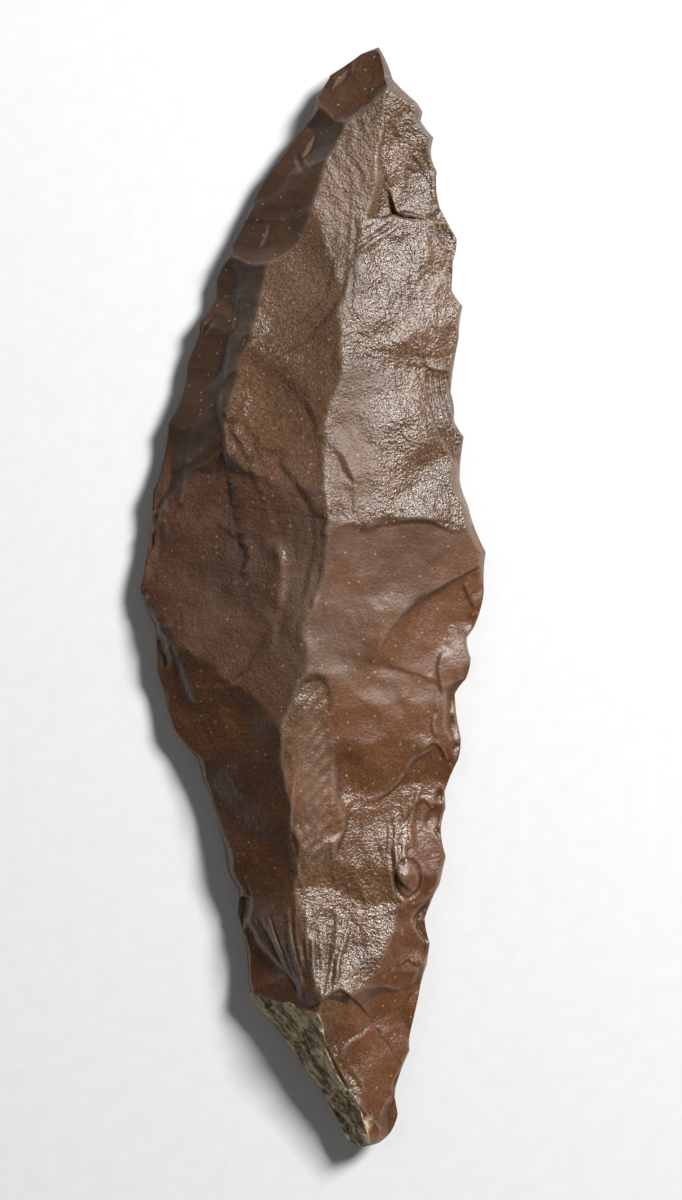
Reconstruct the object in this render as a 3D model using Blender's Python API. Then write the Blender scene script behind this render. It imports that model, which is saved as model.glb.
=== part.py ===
"""A leaf-shaped flint sickle blade, knapped from one piece of stone, lying on its flat underside.

The origin is at the middle of the underside. +Y runs to the tip, +X to the cutting edge and +Z up.
Each flake scar is one hollow surface, and the stone's height at a place is the height of the lowest
surface there, so the ridges are where two scars meet, as on the real stone.
"""

from dataclasses import dataclass

import bmesh
import bpy
import numpy as np

# Driving sizes, in metres
LENGTH = 0.120
WIDTH = 0.0376
THICKNESS = 0.0105
CUTTING_EDGE_HEIGHT = 0.0027
BACK_EDGE_HEIGHT = 0.0025
TIP_HEIGHT = 0.0032
BUTT_HEIGHT = 0.0034
EDGE_WAVE_HEIGHT = 0.00030
EDGE_WAVE_LENGTH = 0.0090
RETOUCH_PITCH = 0.0026
RETOUCH_REACH = (0.0004, 0.0011)
UNDERSIDE_SCAR_PITCH = 0.0085
UNDERSIDE_SCAR_REACH = (0.0040, 0.0072)
RIDGE_SOFTNESS = 0.00004
STEP_SWAY = 0.00020
SCAR_SWELL = 0.00009

# How finely the surface is laid out, before flat stretches are merged
ROWS = 300
UPPER_COLUMNS = 64
LOWER_COLUMNS = 20
COLUMNS_NEARER_EDGES = 0.5
KEPT_SHARE_OF_FACES = 0.19
FLAT_WITHIN = 0.00003

# The drawing: the outline and the scars are drawn over the photograph, x and y in its pixels,
# with heights in millimetres for a stone of the drawn thickness
DRAWN_LEFT, DRAWN_RIGHT = 142.0, 486.0
DRAWN_TOP, DRAWN_BOTTOM = 48.0, 1146.0
DRAWN_MM_PER_PIXEL = 0.1093
DRAWN_THICKNESS = 10.5
TO_X = WIDTH / (DRAWN_RIGHT - DRAWN_LEFT)
TO_Y = LENGTH / (DRAWN_BOTTOM - DRAWN_TOP)
TO_Z = THICKNESS / DRAWN_THICKNESS
PIXELS_PER_METRE = 1 / TO_Y
CURVE_STEPS = 6
RUMPLE_WAVES = 9
RETOUCHED_CUTTING_EDGE = (560.0, 1090.0)
RETOUCHED_BACK_EDGE = (480.0, 740.0)
STEPS_START = 0.35
LEDGE_END = 0.22

# The outline's teeth from tip to butt, each with the hollow of the stretch before it
CUTTING_EDGE = (
    (379, 48, 0), (393, 80, -1.5), (418, 104, 1), (423, 113, 0), (421, 121, 0), (434, 138, 1), (437, 172, 4),
    (440, 208, 2), (457, 239, 0), (453, 262, -1), (452, 290, 0), (463, 306, 1), (459, 338, 1), (451, 392, 1),
    (454, 420, -1.5), (464, 437, 1), (460, 480, 1), (468, 505, 1), (486, 552, 2), (484, 592, 1),
    (474, 628, -1.5), (467, 638, 0), (471, 658, 1), (466, 679, -1), (455, 694, 1), (461, 738, 1),
    (458, 760, -1), (445, 792, 1), (446, 808, 0), (441, 830, 1), (446, 856, 1), (440, 884, 0), (425, 918, 1),
    (430, 943, 1), (427, 965, 0), (419, 995, 1), (411, 1030, 0), (410, 1050, 1), (396, 1086, 1),
    (395, 1096, 0), (398, 1113, 0), (391, 1131, -1), (379, 1142, -1), (362, 1146, -1),
)
BACK_EDGE = (
    (379, 48, 0), (361, 55, 0), (331, 76, 1), (317, 98, 1), (311, 118, 1), (296, 138, 1), (272, 171, 1.5),
    (243, 228, -2.5), (217, 279, 0), (217, 298, 0), (201, 322, 1), (200, 336, 0), (187, 368, -1),
    (185, 388, 1), (169, 424, 2), (163, 464, 1), (154, 492, 1), (150, 528, 1), (142, 585, 1), (143, 598, -1),
    (155, 625, -1), (158, 672, 1), (166, 698, 0), (174, 728, -1), (198, 758, -1), (204, 780, 0),
    (218, 818, 1), (228, 870, 1), (239, 890, -1), (238, 912, 1), (245, 938, 0), (249, 980, 1), (252, 999, 0),
    (300, 1060, 2), (332, 1108, 2), (347, 1137, 1), (362, 1146, -1),
)


def swayed(x, y):
    """Drawn places moved by a slow sway, so that no step runs quite straight."""
    sway_x = np.sin(y / 15.0 + 0.9) + 0.8 * np.sin(y / 6.7 + x / 23.0) + 0.6 * np.sin((x + y) / 9.3)
    sway_y = np.sin(x / 13.0 + 2.1) + 0.8 * np.sin(x / 7.1 - y / 19.0) + 0.6 * np.sin((x - y) / 10.1)
    return x + STEP_SWAY * PIXELS_PER_METRE * sway_x, y + STEP_SWAY * PIXELS_PER_METRE * sway_y


def rumple(x, y, wavelength, seed):
    """An uneven surface from about -1 to 1, made of waves in many directions."""
    draw = np.random.default_rng(seed)
    total = np.zeros(np.broadcast(x, y).shape)
    for _ in range(RUMPLE_WAVES):
        heading, phase = draw.uniform(0, 2 * np.pi, 2)
        length = wavelength * draw.uniform(0.7, 1.5)
        total += np.sin(2 * np.pi * (x * np.cos(heading) + y * np.sin(heading)) / length + phase)
    return total / np.sqrt(RUMPLE_WAVES / 2) / 1.6


def strayed(x, y):
    """Drawn places moved a little this way and that, so that no border between two scars is straight."""
    aside = 4.0 * rumple(x, y, 95.0, 11) + 1.2 * rumple(x, y, 38.0, 12) + 0.25 * rumple(x, y, 16.0, 13)
    down = 4.0 * rumple(x, y, 95.0, 14) + 1.2 * rumple(x, y, 38.0, 15) + 0.25 * rumple(x, y, 16.0, 16)
    return x + aside, y + down


def unevenness(x, y, own):
    """A slow swell of a scar's surface, from -1 to 1, with its own phase, so that ridges wander too."""
    swell = np.sin(x / 17.0 + own) * np.sin(y / 13.0 - 1.7 * own)
    return 0.7 * swell + 0.3 * np.sin((x + 0.6 * y) / 7.9 + 2.3 * own)


@dataclass(frozen=True)
class Fence:
    """A line that a scar stops at: past it the scar's surface climbs at this slope."""

    start: tuple
    end: tuple
    slope: float

    def climb(self, x, y, inside):
        """The height added past the line, on the side away from the inside point."""
        x, y = swayed(x, y)
        across = np.array((self.end[1] - self.start[1], self.start[0] - self.end[0]), float)
        across /= np.hypot(*across)
        towards = (inside[0] - self.start[0]) * across[0] + (inside[1] - self.start[1]) * across[1]
        past = -np.sign(towards) * ((x - self.start[0]) * across[0] + (y - self.start[1]) * across[1])
        return self.slope * DRAWN_MM_PER_PIXEL * np.maximum(past, 0)


@dataclass(frozen=True)
class Scar:
    """The hollow left by one flake, from where it was struck to where it ended."""

    name: str
    struck: tuple
    ends: tuple
    half_width: float
    low: float
    high: float
    hollow: float = 0.3
    cupped: float = 0.6
    fences: tuple = ()

    def height(self, x, y):
        """The scar's surface over the drawing, low where it was struck and high where it ended."""
        run_x, run_y = self.ends[0] - self.struck[0], self.ends[1] - self.struck[1]
        run = np.hypot(run_x, run_y)
        off_x, off_y = x - self.struck[0], y - self.struck[1]
        along = (off_x * run_x + off_y * run_y) / run**2
        aside = (off_y * run_x - off_x * run_y) / (run * self.half_width)
        sag = along * (1 - along)
        if self.hollow < 0:
            sag = np.maximum(sag, 0)
        height = self.low + (self.high - self.low) * along - 4 * self.hollow * sag + self.cupped * aside**2
        height = height + SCAR_SWELL / TO_Z * unevenness(x, y, self.struck[0] + 0.7 * self.struck[1])
        middle = (self.struck[0] + run_x / 2, self.struck[1] + run_y / 2)
        for fence in self.fences:
            height = height + fence.climb(x, y, middle)
        return height


def nearest(x, y, line):
    """How far each place is from a line in drawn pixels, and +1 to the line's right or -1 to its left."""
    away, side = np.full(x.shape, np.inf), np.zeros(x.shape)
    for start, end in zip(line, line[1:]):
        run = end - start
        off_x, off_y = x - start[0], y - start[1]
        share = np.clip((off_x * run[0] + off_y * run[1]) / (run @ run), 0, 1)
        gap = np.hypot(off_x - share * run[0], off_y - share * run[1])
        side = np.where(gap < away, np.sign(run[0] * off_y - run[1] * off_x), side)
        away = np.minimum(away, gap)
    return away, side


def eased(share):
    """A share from 0 to 1 that starts and ends gently."""
    share = np.clip(share, 0, 1)
    return share * share * (3 - 2 * share)


def smoothed(points):
    """A smooth line through a few points, as closer points."""
    given = np.array(points, float)
    padded = np.vstack([2 * given[0] - given[1], given, 2 * given[-1] - given[-2]])
    made = []
    for before, start, end, after in zip(padded, padded[1:], padded[2:], padded[3:]):
        for t in np.linspace(0, 1, CURVE_STEPS, endpoint=False):
            turn = (2 * before - 5 * start + 4 * end - after) * t**2
            twist = (3 * start - before - 3 * end + after) * t**3
            made.append(0.5 * (2 * start + (end - before) * t + turn + twist))
    return np.array([*made, given[-1]])


@dataclass(frozen=True)
class Ledge:
    """A step in the surface, raised on the right-hand side of its line as it is drawn."""

    points: tuple
    width: float
    mm: float
    reach: float

    def height(self, x, y):
        """The height that the step adds, which dies away behind the step and towards its ends."""
        line = smoothed(self.points)
        away, side = nearest(x, y, line)
        from_start = np.hypot(x - line[0, 0], y - line[0, 1])
        ends = np.minimum(from_start, np.hypot(x - line[-1, 0], y - line[-1, 1]))
        length = np.hypot(*np.diff(line, axis=0).T).sum()
        fade = eased(ends / (LEDGE_END * length))
        rise = eased(side * away / self.width + 0.5)
        return self.mm * rise * fade * np.exp(-np.maximum(side * away, 0) / self.reach)


STEEP_BACK = (
    Scar("back_tip", (335, 74), (356, 90), 34, 2.6, 4.6, -0.2, 0.8),
    Scar("back_1", (306, 112), (340, 112), 30, 2.4, 5.9, -0.2, 0.7),
    Scar("back_2", (280, 160), (322, 166), 34, 2.4, 6.7, -0.2, 0.7),
    Scar("back_3", (250, 212), (302, 222), 30, 2.4, 7.2, -0.1, 0.7),
    Scar("back_4", (222, 268), (262, 258), 36, 2.5, 7.0, -0.2, 0.8),
    Scar("back_5", (204, 318), (250, 306), 34, 2.5, 7.1, -0.2, 0.8),
    Scar("back_6", (184, 372), (238, 360), 40, 2.5, 7.4, -0.2, 0.7),
    Scar("back_7", (164, 436), (226, 428), 40, 2.5, 7.3, -0.2, 0.7, (Fence((224, 380), (230, 470), 1.0),)),
)
TIP_AND_UPPER_FACE = (
    Scar("tip_top", (352, 58), (386, 100), 40, 3.3, 5.6, 0.1, 0.4, (Fence((397, 82), (344, 117), 1.2),)),
    Scar("tip_left", (386, 155), (325, 168), 90, 6.1, 6.9, 0.1, 0.4, (Fence((384, 120), (386, 205), 0.5),)),
    Scar("tip_right", (440, 172), (388, 160), 60, 2.9, 5.2, 0.0, 0.3,
         (Fence((382, 125), (385, 190), 0.6), Fence((390, 219), (441, 217), 3.0))),
    Scar("upper_face", (455, 282), (350, 306), 110, 2.9, 8.1, -0.15, 0.35,
         (Fence((394, 217), (444, 217), 2.4), Fence((340, 366), (455, 370), 0.22))),
    Scar("gloss_face", (462, 415), (326, 442), 90, 3.1, 9.8, -0.8, 0.12,
         (Fence((345, 352), (455, 366), 0.14), Fence((338, 521), (470, 526), 1.0))),
)
CUTTING_SIDE = (
    Scar("brown_face", (485, 602), (328, 562), 110, 3.0, 10.4, 0.1, 0.2,
         (Fence((336, 524), (470, 528), 0.6), Fence((330, 664), (460, 676), 0.12))),
    Scar("orange_hollow", (478, 640), (388, 640), 52, 2.9, 6.9, 0.5, 0.4,
         (Fence((464, 577), (400, 612), 1.4), Fence((402, 604), (378, 655), 1.4),
          Fence((383, 666), (445, 684), 1.2))),
    Scar("orange_face", (460, 755), (328, 714), 110, 3.0, 8.9, 0.0, 0.4,
         (Fence((375, 660), (450, 686), 0.15), Fence((350, 812), (440, 745), 0.35))),
    Scar("ridge_strip", (345, 790), (288, 785), 200, 7.9, 10.0, 0.05, 0.2,
         (Fence((285, 888), (345, 888), 0.3), Fence((268, 690), (345, 678), 0.5),
          Fence((327, 680), (342, 880), 1.0))),
    Scar("lower_gloss", (396, 840), (337, 860), 90, 5.2, 7.5, 0.0, 0.3,
         (Fence((340, 796), (400, 785), 0.3), Fence((338, 780), (342, 890), 1.2))),
    Scar("retouch_1", (446, 806), (388, 798), 26, 2.9, 6.9, 0.3, 0.5),
    Scar("retouch_2", (444, 850), (388, 846), 26, 2.9, 6.5, 0.4, 0.5),
    Scar("retouch_3", (434, 900), (386, 890), 28, 2.9, 6.3, 0.3, 0.5),
    Scar("retouch_4", (430, 952), (386, 946), 30, 2.9, 6.2, 0.3, 0.5),
    Scar("retouch_5", (420, 998), (380, 992), 24, 2.9, 5.8, 0.3, 0.5),
)
LOWER_FACE = (
    Scar("lower_right", (388, 945), (340, 960), 90, 6.2, 8.3, 0.1, 0.4,
         (Fence((340, 885), (392, 885), 0.12),)),
    Scar("streaked_face", (352, 905), (276, 950), 75, 6.4, 9.4, -0.1, 0.4,
         (Fence((285, 885), (345, 895), 0.3),)),
    Scar("dark_chip", (246, 962), (298, 968), 32, 2.6, 7.6, 0.3, 0.6, (Fence((254, 930), (300, 988), 3.0),)),
    Scar("butt_ridge", (366, 1030), (322, 1008), 60, 6.0, 8.2, 0.2, 0.5,
         (Fence((300, 985), (366, 1004), 0.6),)),
    Scar("butt_right", (408, 1060), (343, 1058), 75, 2.9, 7.2, 0.2, 0.5,
         (Fence((340, 1000), (420, 985), 0.8),)),
    Scar("butt_end", (396, 1112), (362, 1112), 30, 3.2, 7.6, 0.2, 0.5),
    Scar("cortex", (304, 1073), (336, 1050), 160, 2.6, 7.4, -0.1, 0.4,
         (Fence((240, 1001), (320, 1001), 4.0),)),
)
BACK_SIDE = (
    Scar("upper_hollow", (258, 272), (352, 288), 80, 7.1, 8.4, 0.6, 0.5),
    Scar("rough_hollow", (224, 400), (322, 420), 56, 7.0, 9.2, 0.6, 0.5,
         (Fence((225, 466), (312, 505), 0.3),)),
    Scar("purple_face", (146, 575), (322, 590), 110, 2.7, 10.4, -0.2, 0.6,
         (Fence((150, 470), (312, 480), 0.35),)),
    Scar("lower_back", (196, 785), (294, 757), 130, 2.5, 10.4, 0.1, 0.5),
    Scar("lowest_back", (241, 905), (268, 905), 60, 2.5, 8.5, 0.1, 0.6,
         (Fence((246, 940), (290, 930), 0.6), Fence((200, 898), (290, 892), 3.0))),
)
LEDGES = (
    # The step that the topmost scar of the cutting side ends in
    Ledge(((441, 207), (432, 217), (422, 221), (408, 219), (397, 216), (392, 203),
           (389, 190)), 1.8, 0.55, 22),
    # Edges of the scars near the tip and the ridge
    Ledge(((454, 371), (440, 372), (424, 369)), 1.8, 0.28, 16),
    # Rings in the hollow left of the ridge
    Ledge(((300, 348), (320, 332), (334, 315), (344, 297), (349, 275), (350, 252)), 7.0, 0.34, 30),
    # Steps and hollows in the rough part left of the ridge
    Ledge(((230, 470), (227, 452), (225, 432), (220, 410), (223, 388)), 2.6, 0.50, 50),
    Ledge(((250, 464), (244, 449), (237, 438), (231, 426)), 2.4, 0.30, 30),
    Ledge(((319, 446), (317, 430), (311, 412), (300, 399)), 3.2, 0.28, 14),
    Ledge(((320, 524), (309, 501), (293, 479), (277, 461)), 5.0, 0.32, 22),
    # The crescent left by a flake that broke short, and the marks near it
    Ledge(((240, 576), (247, 567), (250, 557), (247, 547), (239, 540)), 2.2, 0.38, 13),
    Ledge(((279, 536), (285, 556), (286, 584), (281, 614)), 7.0, 0.60, 16),
    Ledge(((203, 718), (190, 690), (177, 652), (166, 626), (154, 602)), 9.0, 0.30, 24),
    Ledge(((178, 508), (183, 488), (187, 468)), 3.0, 0.28, 14),
    # The orange hollow and what lies around it
    Ledge(((464, 577), (450, 581), (426, 597), (404, 612), (389, 632), (379, 651),
           (382, 663)), 3.0, 0.30, 26),
    Ledge(((446, 700), (440, 684), (438, 664), (444, 646)), 3.4, 0.30, 14),
    Ledge(((448, 764), (441, 748), (431, 743), (420, 752)), 2.4, 0.28, 10),
    # Pressed scars along the lower cutting edge
    Ledge(((420, 890), (408, 886), (396, 872), (394, 842)), 2.6, 0.32, 14),
    # Steps across the lower face, and the edge of the rind
    Ledge(((374, 1020), (363, 1004), (350, 990), (338, 984), (320, 995), (302, 1003)), 3.0, 0.36, 24),
    Ledge(((303, 1003), (297, 980), (284, 955), (270, 930), (258, 905)), 5.0, 0.40, 20),
    Ledge(((386, 1132), (368, 1112), (352, 1090), (338, 1062), (318, 1022), (302, 1003)), 4.0, 0.28, 12),
)


def curved(teeth, inward):
    """The outline through the teeth, each stretch bent inward by its own hollow."""
    points = [np.array(teeth[0][:2], float)]
    for (x0, y0, _), (x1, y1, hollow) in zip(teeth, teeth[1:]):
        start, end = np.array((x0, y0), float), np.array((x1, y1), float)
        handle = (start + end) / 2 + np.array((2 * inward * hollow, 0.0))
        for step in range(1, CURVE_STEPS + 1):
            t = step / CURVE_STEPS
            points.append((1 - t) ** 2 * start + 2 * t * (1 - t) * handle + t**2 * end)
    return np.array(points)


def along_edge(line, inward, pitch):
    """Places along an edge at about this pitch, each with the direction into the stone and its stretch."""
    for start, end in zip(line, line[1:]):
        span = np.hypot(*(end - start))
        count = max(1, round(span / pitch))
        into = np.array((start[1] - end[1], end[0] - start[0])) / span
        into *= np.sign(into[0] * inward)
        for k in range(count):
            yield start + (end - start) * (k + 0.5) / count, into, span / count


def edge_retouch(teeth, between, inward, edge_height, draw):
    """The row of small scars that was pressed off an edge to sharpen it, one or more to a tooth."""
    made = []
    line = np.array([tooth[:2] for tooth in teeth if between[0] < tooth[1] < between[1]], float)
    for place, into, pitch in along_edge(line, inward, RETOUCH_PITCH * PIXELS_PER_METRE):
        reach = draw.uniform(*RETOUCH_REACH) * PIXELS_PER_METRE
        steepness = draw.uniform(0.5, 1.0)
        low = edge_height / TO_Z
        high = low + reach * DRAWN_MM_PER_PIXEL * steepness
        ends = tuple(place + reach * into)
        made.append(Scar("retouch", tuple(place), ends, 0.62 * pitch, low, high, 0.12, 0.45))
    return made


def evenly(line, pitch):
    """Points along a line at about this pitch, from end to end."""
    run = np.concatenate([[0], np.cumsum(np.hypot(*np.diff(line, axis=0).T))])
    places = np.linspace(0, run[-1], round(run[-1] / pitch) + 1)
    return np.stack([np.interp(places, run, line[:, axis]) for axis in (0, 1)], axis=-1)


def underside_scars(line, inward, edge_height, draw):
    """Broad shallow scars on the underside, worked out as depths below the edge."""
    made = []
    pitch = UNDERSIDE_SCAR_PITCH * PIXELS_PER_METRE
    for place, into, pitch in along_edge(evenly(line, pitch), inward, pitch):
        reach = draw.uniform(*UNDERSIDE_SCAR_REACH) * PIXELS_PER_METRE
        low = -edge_height / TO_Z
        ends = tuple(place + reach * into)
        made.append(Scar("underside", tuple(place), ends, 0.75 * pitch, low, 0.0, 0.15, 0.35))
    return made


def lowest(scars, x, y):
    """The height of the lowest scar at each place, with each ridge a little rounded."""
    heights = np.array([scar.height(x, y) for scar in scars])
    floor = heights.min(0)
    soft = RIDGE_SOFTNESS / TO_Z
    return floor - soft * np.log(np.exp((floor - heights) / soft).sum(0))


def edge_heights(row_y, height, shift):
    """The height of an edge down the blade, slightly wavy and meeting the tip and the butt."""
    wave = EDGE_WAVE_HEIGHT * np.sin(2 * np.pi * (row_y * TO_Y / EDGE_WAVE_LENGTH + shift))
    level = height + wave
    end_zone = 3 * EDGE_WAVE_LENGTH / TO_Y
    near_tip = np.clip(1 - (row_y - DRAWN_TOP) / end_zone, 0, 1) ** 2
    near_butt = np.clip(1 - (DRAWN_BOTTOM - row_y) / end_zone, 0, 1) ** 2
    level = level + (TIP_HEIGHT - level) * near_tip
    return level + (BUTT_HEIGHT - level) * near_butt


def spread(count):
    """Shares from 0 to 1 across the blade, closer together towards both edges."""
    share = np.linspace(0, 1, count + 1)
    return share - COLUMNS_NEARER_EDGES * np.sin(2 * np.pi * share) / (2 * np.pi)


class Surface:
    """The blade's upper and lower sides, as heights over a layout of rows and columns."""

    def __init__(self):
        draw = np.random.default_rng(7)
        self.scars = [*STEEP_BACK, *TIP_AND_UPPER_FACE, *CUTTING_SIDE, *LOWER_FACE, *BACK_SIDE]
        self.scars += edge_retouch(CUTTING_EDGE, RETOUCHED_CUTTING_EDGE, -1, CUTTING_EDGE_HEIGHT, draw)
        self.scars += edge_retouch(BACK_EDGE, RETOUCHED_BACK_EDGE, 1, BACK_EDGE_HEIGHT, draw)
        self.right = curved(CUTTING_EDGE, -1)
        self.left = curved(BACK_EDGE, 1)
        self.below = underside_scars(self.right, -1, CUTTING_EDGE_HEIGHT, draw)
        self.below += underside_scars(self.left, 1, BACK_EDGE_HEIGHT, draw)

    def layout(self, columns):
        """Drawn x and y, the share across and the edge height, for every row and column."""
        y = np.linspace(DRAWN_TOP, DRAWN_BOTTOM, ROWS + 1)[:, None]
        right = np.interp(y, self.right[:, 1], self.right[:, 0])
        left = np.interp(y, self.left[:, 1], self.left[:, 0])
        across = spread(columns)[None, :]
        edge = edge_heights(y, BACK_EDGE_HEIGHT, 0.3) * (1 - across)
        edge = edge + edge_heights(y, CUTTING_EDGE_HEIGHT, 0.0) * across
        return left + (right - left) * across, y + 0 * across, edge / TO_Z

    def upper(self):
        """Drawn x, y and height of the upper side."""
        x, y, edge = self.layout(UPPER_COLUMNS)
        from_right = nearest(x, y, self.right)[0] * DRAWN_MM_PER_PIXEL
        from_left = nearest(x, y, self.left)[0] * DRAWN_MM_PER_PIXEL
        bevel = edge + np.minimum(2.2 * from_right**0.8, 2.4 * from_left**0.8)
        height = np.minimum(lowest(self.scars, *strayed(x, y)), bevel)
        blunted = 0.7 - 0.5 * np.clip((y - 430) / 70, 0, 1)
        height = np.maximum(height, edge + np.minimum(0.1 * from_right, blunted * from_left))
        height = height * DRAWN_THICKNESS / height.max()
        inside = np.clip(np.minimum(from_right, from_left) / STEPS_START, 0, 1)
        height = height + inside * sum(ledge.height(x, y) for ledge in LEDGES)
        return x, y, np.minimum(height, DRAWN_THICKNESS)

    def lower(self):
        """Drawn x, y and height of the underside, which is flat where no scar reaches."""
        x, y, edge = self.layout(LOWER_COLUMNS)
        from_edge = np.minimum(nearest(x, y, self.right)[0], nearest(x, y, self.left)[0])
        from_edge = from_edge * DRAWN_MM_PER_PIXEL
        scarred = -lowest(self.below, x, y)
        height = np.clip(scarred, 0, None)
        return x, y, np.minimum(height, edge * np.clip(1 - 0.12 * from_edge, 0, 1))


def placed(x, y, height):
    """Drawn places as points in metres."""
    middle_x, middle_y = (DRAWN_LEFT + DRAWN_RIGHT) / 2, (DRAWN_TOP + DRAWN_BOTTOM) / 2
    return np.stack([(x - middle_x) * TO_X, (middle_y - y) * TO_Y, height * TO_Z], axis=-1)


def blade_mesh():
    """The closed mesh of the blade, its two sides sharing the points of both edges."""
    surface = Surface()
    upper = placed(*surface.upper())
    lower = placed(*surface.lower())
    work = bmesh.new()
    tip = work.verts.new(upper[0, 0])
    butt = work.verts.new(upper[-1, 0])
    top_rows = [[work.verts.new(point) for point in row] for row in upper[1:-1]]
    bottom_rows = [
        [top[0], *(work.verts.new(point) for point in row[1:-1]), top[-1]]
        for top, row in zip(top_rows, lower[1:-1])
    ]
    for rows, facing_up in ((top_rows, True), (bottom_rows, False)):
        for row, after in zip(rows, rows[1:]):
            for a, b, c, d in zip(row, row[1:], after[1:], after):
                work.faces.new((d, c, b, a) if facing_up else (a, b, c, d))
        for first, second in zip(rows[0], rows[0][1:]):
            work.faces.new((first, second, tip) if facing_up else (second, first, tip))
        for first, second in zip(rows[-1], rows[-1][1:]):
            work.faces.new((second, first, butt) if facing_up else (first, second, butt))
    bmesh.ops.triangulate(work, faces=work.faces[:])
    mesh = bpy.data.meshes.new("flint_blade_fine")
    work.to_mesh(mesh)
    work.free()
    return mesh


def merged_flat(mesh):
    """The mesh with its flatter stretches merged, and the underside's flat brought back to one plane."""
    helper = bpy.data.objects.new("flint_blade_layout", mesh)
    bpy.context.scene.collection.objects.link(helper)
    thin_out = helper.modifiers.new("thin out", "DECIMATE")
    thin_out.ratio = KEPT_SHARE_OF_FACES
    graph = bpy.context.evaluated_depsgraph_get()
    merged = bpy.data.meshes.new_from_object(helper.evaluated_get(graph))
    bpy.data.objects.remove(helper, do_unlink=True)
    for vertex in merged.vertices:
        if vertex.co.z < FLAT_WITHIN:
            vertex.co.z = 0.0
    return merged


def flint():
    """Red-brown flint with a low gloss."""
    material = bpy.data.materials.new("flint")
    material.use_nodes = True
    shader = material.node_tree.nodes["Principled BSDF"]
    shader.inputs["Base Color"].default_value = (0.125, 0.062, 0.036, 1.0)
    shader.inputs["Roughness"].default_value = 0.4
    shader.inputs["Metallic"].default_value = 0.0
    return material


def main():
    for old in list(bpy.data.objects):
        bpy.data.objects.remove(old, do_unlink=True)
    mesh = merged_flat(blade_mesh())
    mesh.name = "flint_blade"
    mesh.materials.append(flint())
    blade = bpy.data.objects.new("flint_blade", mesh)
    bpy.context.scene.collection.objects.link(blade)


main()
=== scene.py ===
"""The looks of a knapped flint sickle blade, lying on its flat underside.

The surface is laid out finely from the same flake scars as the solid, with the ripples, cracks, small
chips and roughness that the solid leaves out, and is finished as glossy red-brown flint with its rind.
"""

from __future__ import annotations

import logging
import math
from collections.abc import Iterator
from dataclasses import dataclass, field
from enum import Enum

import bpy
import numpy as np
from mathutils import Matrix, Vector


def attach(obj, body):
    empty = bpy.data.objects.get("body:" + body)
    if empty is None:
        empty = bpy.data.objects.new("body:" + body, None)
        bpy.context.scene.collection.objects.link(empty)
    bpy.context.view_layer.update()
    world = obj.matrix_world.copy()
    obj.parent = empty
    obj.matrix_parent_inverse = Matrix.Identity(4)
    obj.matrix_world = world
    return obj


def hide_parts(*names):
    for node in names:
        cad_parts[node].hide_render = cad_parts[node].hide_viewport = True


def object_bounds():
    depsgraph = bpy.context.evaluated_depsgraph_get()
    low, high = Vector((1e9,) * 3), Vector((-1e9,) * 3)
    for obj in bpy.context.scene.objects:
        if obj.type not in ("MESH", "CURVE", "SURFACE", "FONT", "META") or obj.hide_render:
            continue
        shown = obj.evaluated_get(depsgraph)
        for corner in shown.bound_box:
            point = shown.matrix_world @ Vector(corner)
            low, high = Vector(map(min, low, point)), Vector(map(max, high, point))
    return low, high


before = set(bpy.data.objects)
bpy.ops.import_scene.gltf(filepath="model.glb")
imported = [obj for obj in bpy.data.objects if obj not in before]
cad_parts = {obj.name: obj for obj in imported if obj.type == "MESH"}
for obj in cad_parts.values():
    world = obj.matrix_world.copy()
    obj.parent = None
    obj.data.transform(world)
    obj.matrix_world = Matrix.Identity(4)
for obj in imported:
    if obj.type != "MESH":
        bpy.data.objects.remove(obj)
CAD_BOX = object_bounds()

log = logging.getLogger("flint_sickle_blade")

Point = tuple[float, float]


class Mask(Enum):
    """The names of the values stored on the stone's points for its finish to read."""

    CORTEX = "cortex"
    THIN = "thin"
    WARM = "warm"
    MATTE = "matte"
    GRAIN = "grain"
    # Painted highlight on crests and painted shade in creases, from how the surface bends
    WEAR = "bend_light_and_shade"
    # Painted shade on faces that turn away from the light
    DARK = "dark"
    # Painted sheen
    PALE = "pale"


PLAIN_VALUES = {Mask.WARM: 0.4, Mask.MATTE: 0.4, Mask.GRAIN: 0.4, Mask.WEAR: 0.5}


class Relief(Enum):
    """What a drawn line does to the surface along it."""

    GROOVE = -1.0
    CREST = 1.0


@dataclass(frozen=True)
class Drawing:
    """The photograph's frame, in which the outline and the scars are drawn.

    x and y are the photograph's pixels, and heights are millimetres for a stone of the drawn thickness.
    """

    left: float = 142.0
    right: float = 486.0
    top: float = 48.0
    bottom: float = 1146.0
    mm_per_pixel: float = 0.1093
    thickness: float = 10.5

    def placed(self, x: np.ndarray, y: np.ndarray, height: np.ndarray, size: Vector) -> np.ndarray:
        """Drawn places as points in metres.

        Args:
            x: Pixels across the photograph.
            y: Pixels down the photograph.
            height: Drawn heights.
            size: The stone's width, length and thickness in metres.

        Returns:
            The points, with their coordinates along the last axis.
        """
        across = (x - (self.left + self.right) / 2) * size.x / (self.right - self.left)
        along = ((self.top + self.bottom) / 2 - y) * size.y / (self.bottom - self.top)
        return np.stack([across, along, height * size.z / self.thickness], axis=-1)


DRAWING = Drawing()
PIXELS_PER_MM = 1 / DRAWING.mm_per_pixel


def unevenness(x: np.ndarray, y: np.ndarray, own: float) -> np.ndarray:
    """A slow swell from -1 to 1 whose phase is a scar's own."""
    swell = np.sin(x / 17.0 + own) * np.sin(y / 13.0 - 1.7 * own)
    return 0.7 * swell + 0.3 * np.sin((x + 0.6 * y) / 7.9 + 2.3 * own)


def eased(share: np.ndarray) -> np.ndarray:
    """Shares from 0 to 1 that start and end gently."""
    clipped = np.clip(share, 0, 1)
    return clipped * clipped * (3 - 2 * clipped)


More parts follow.
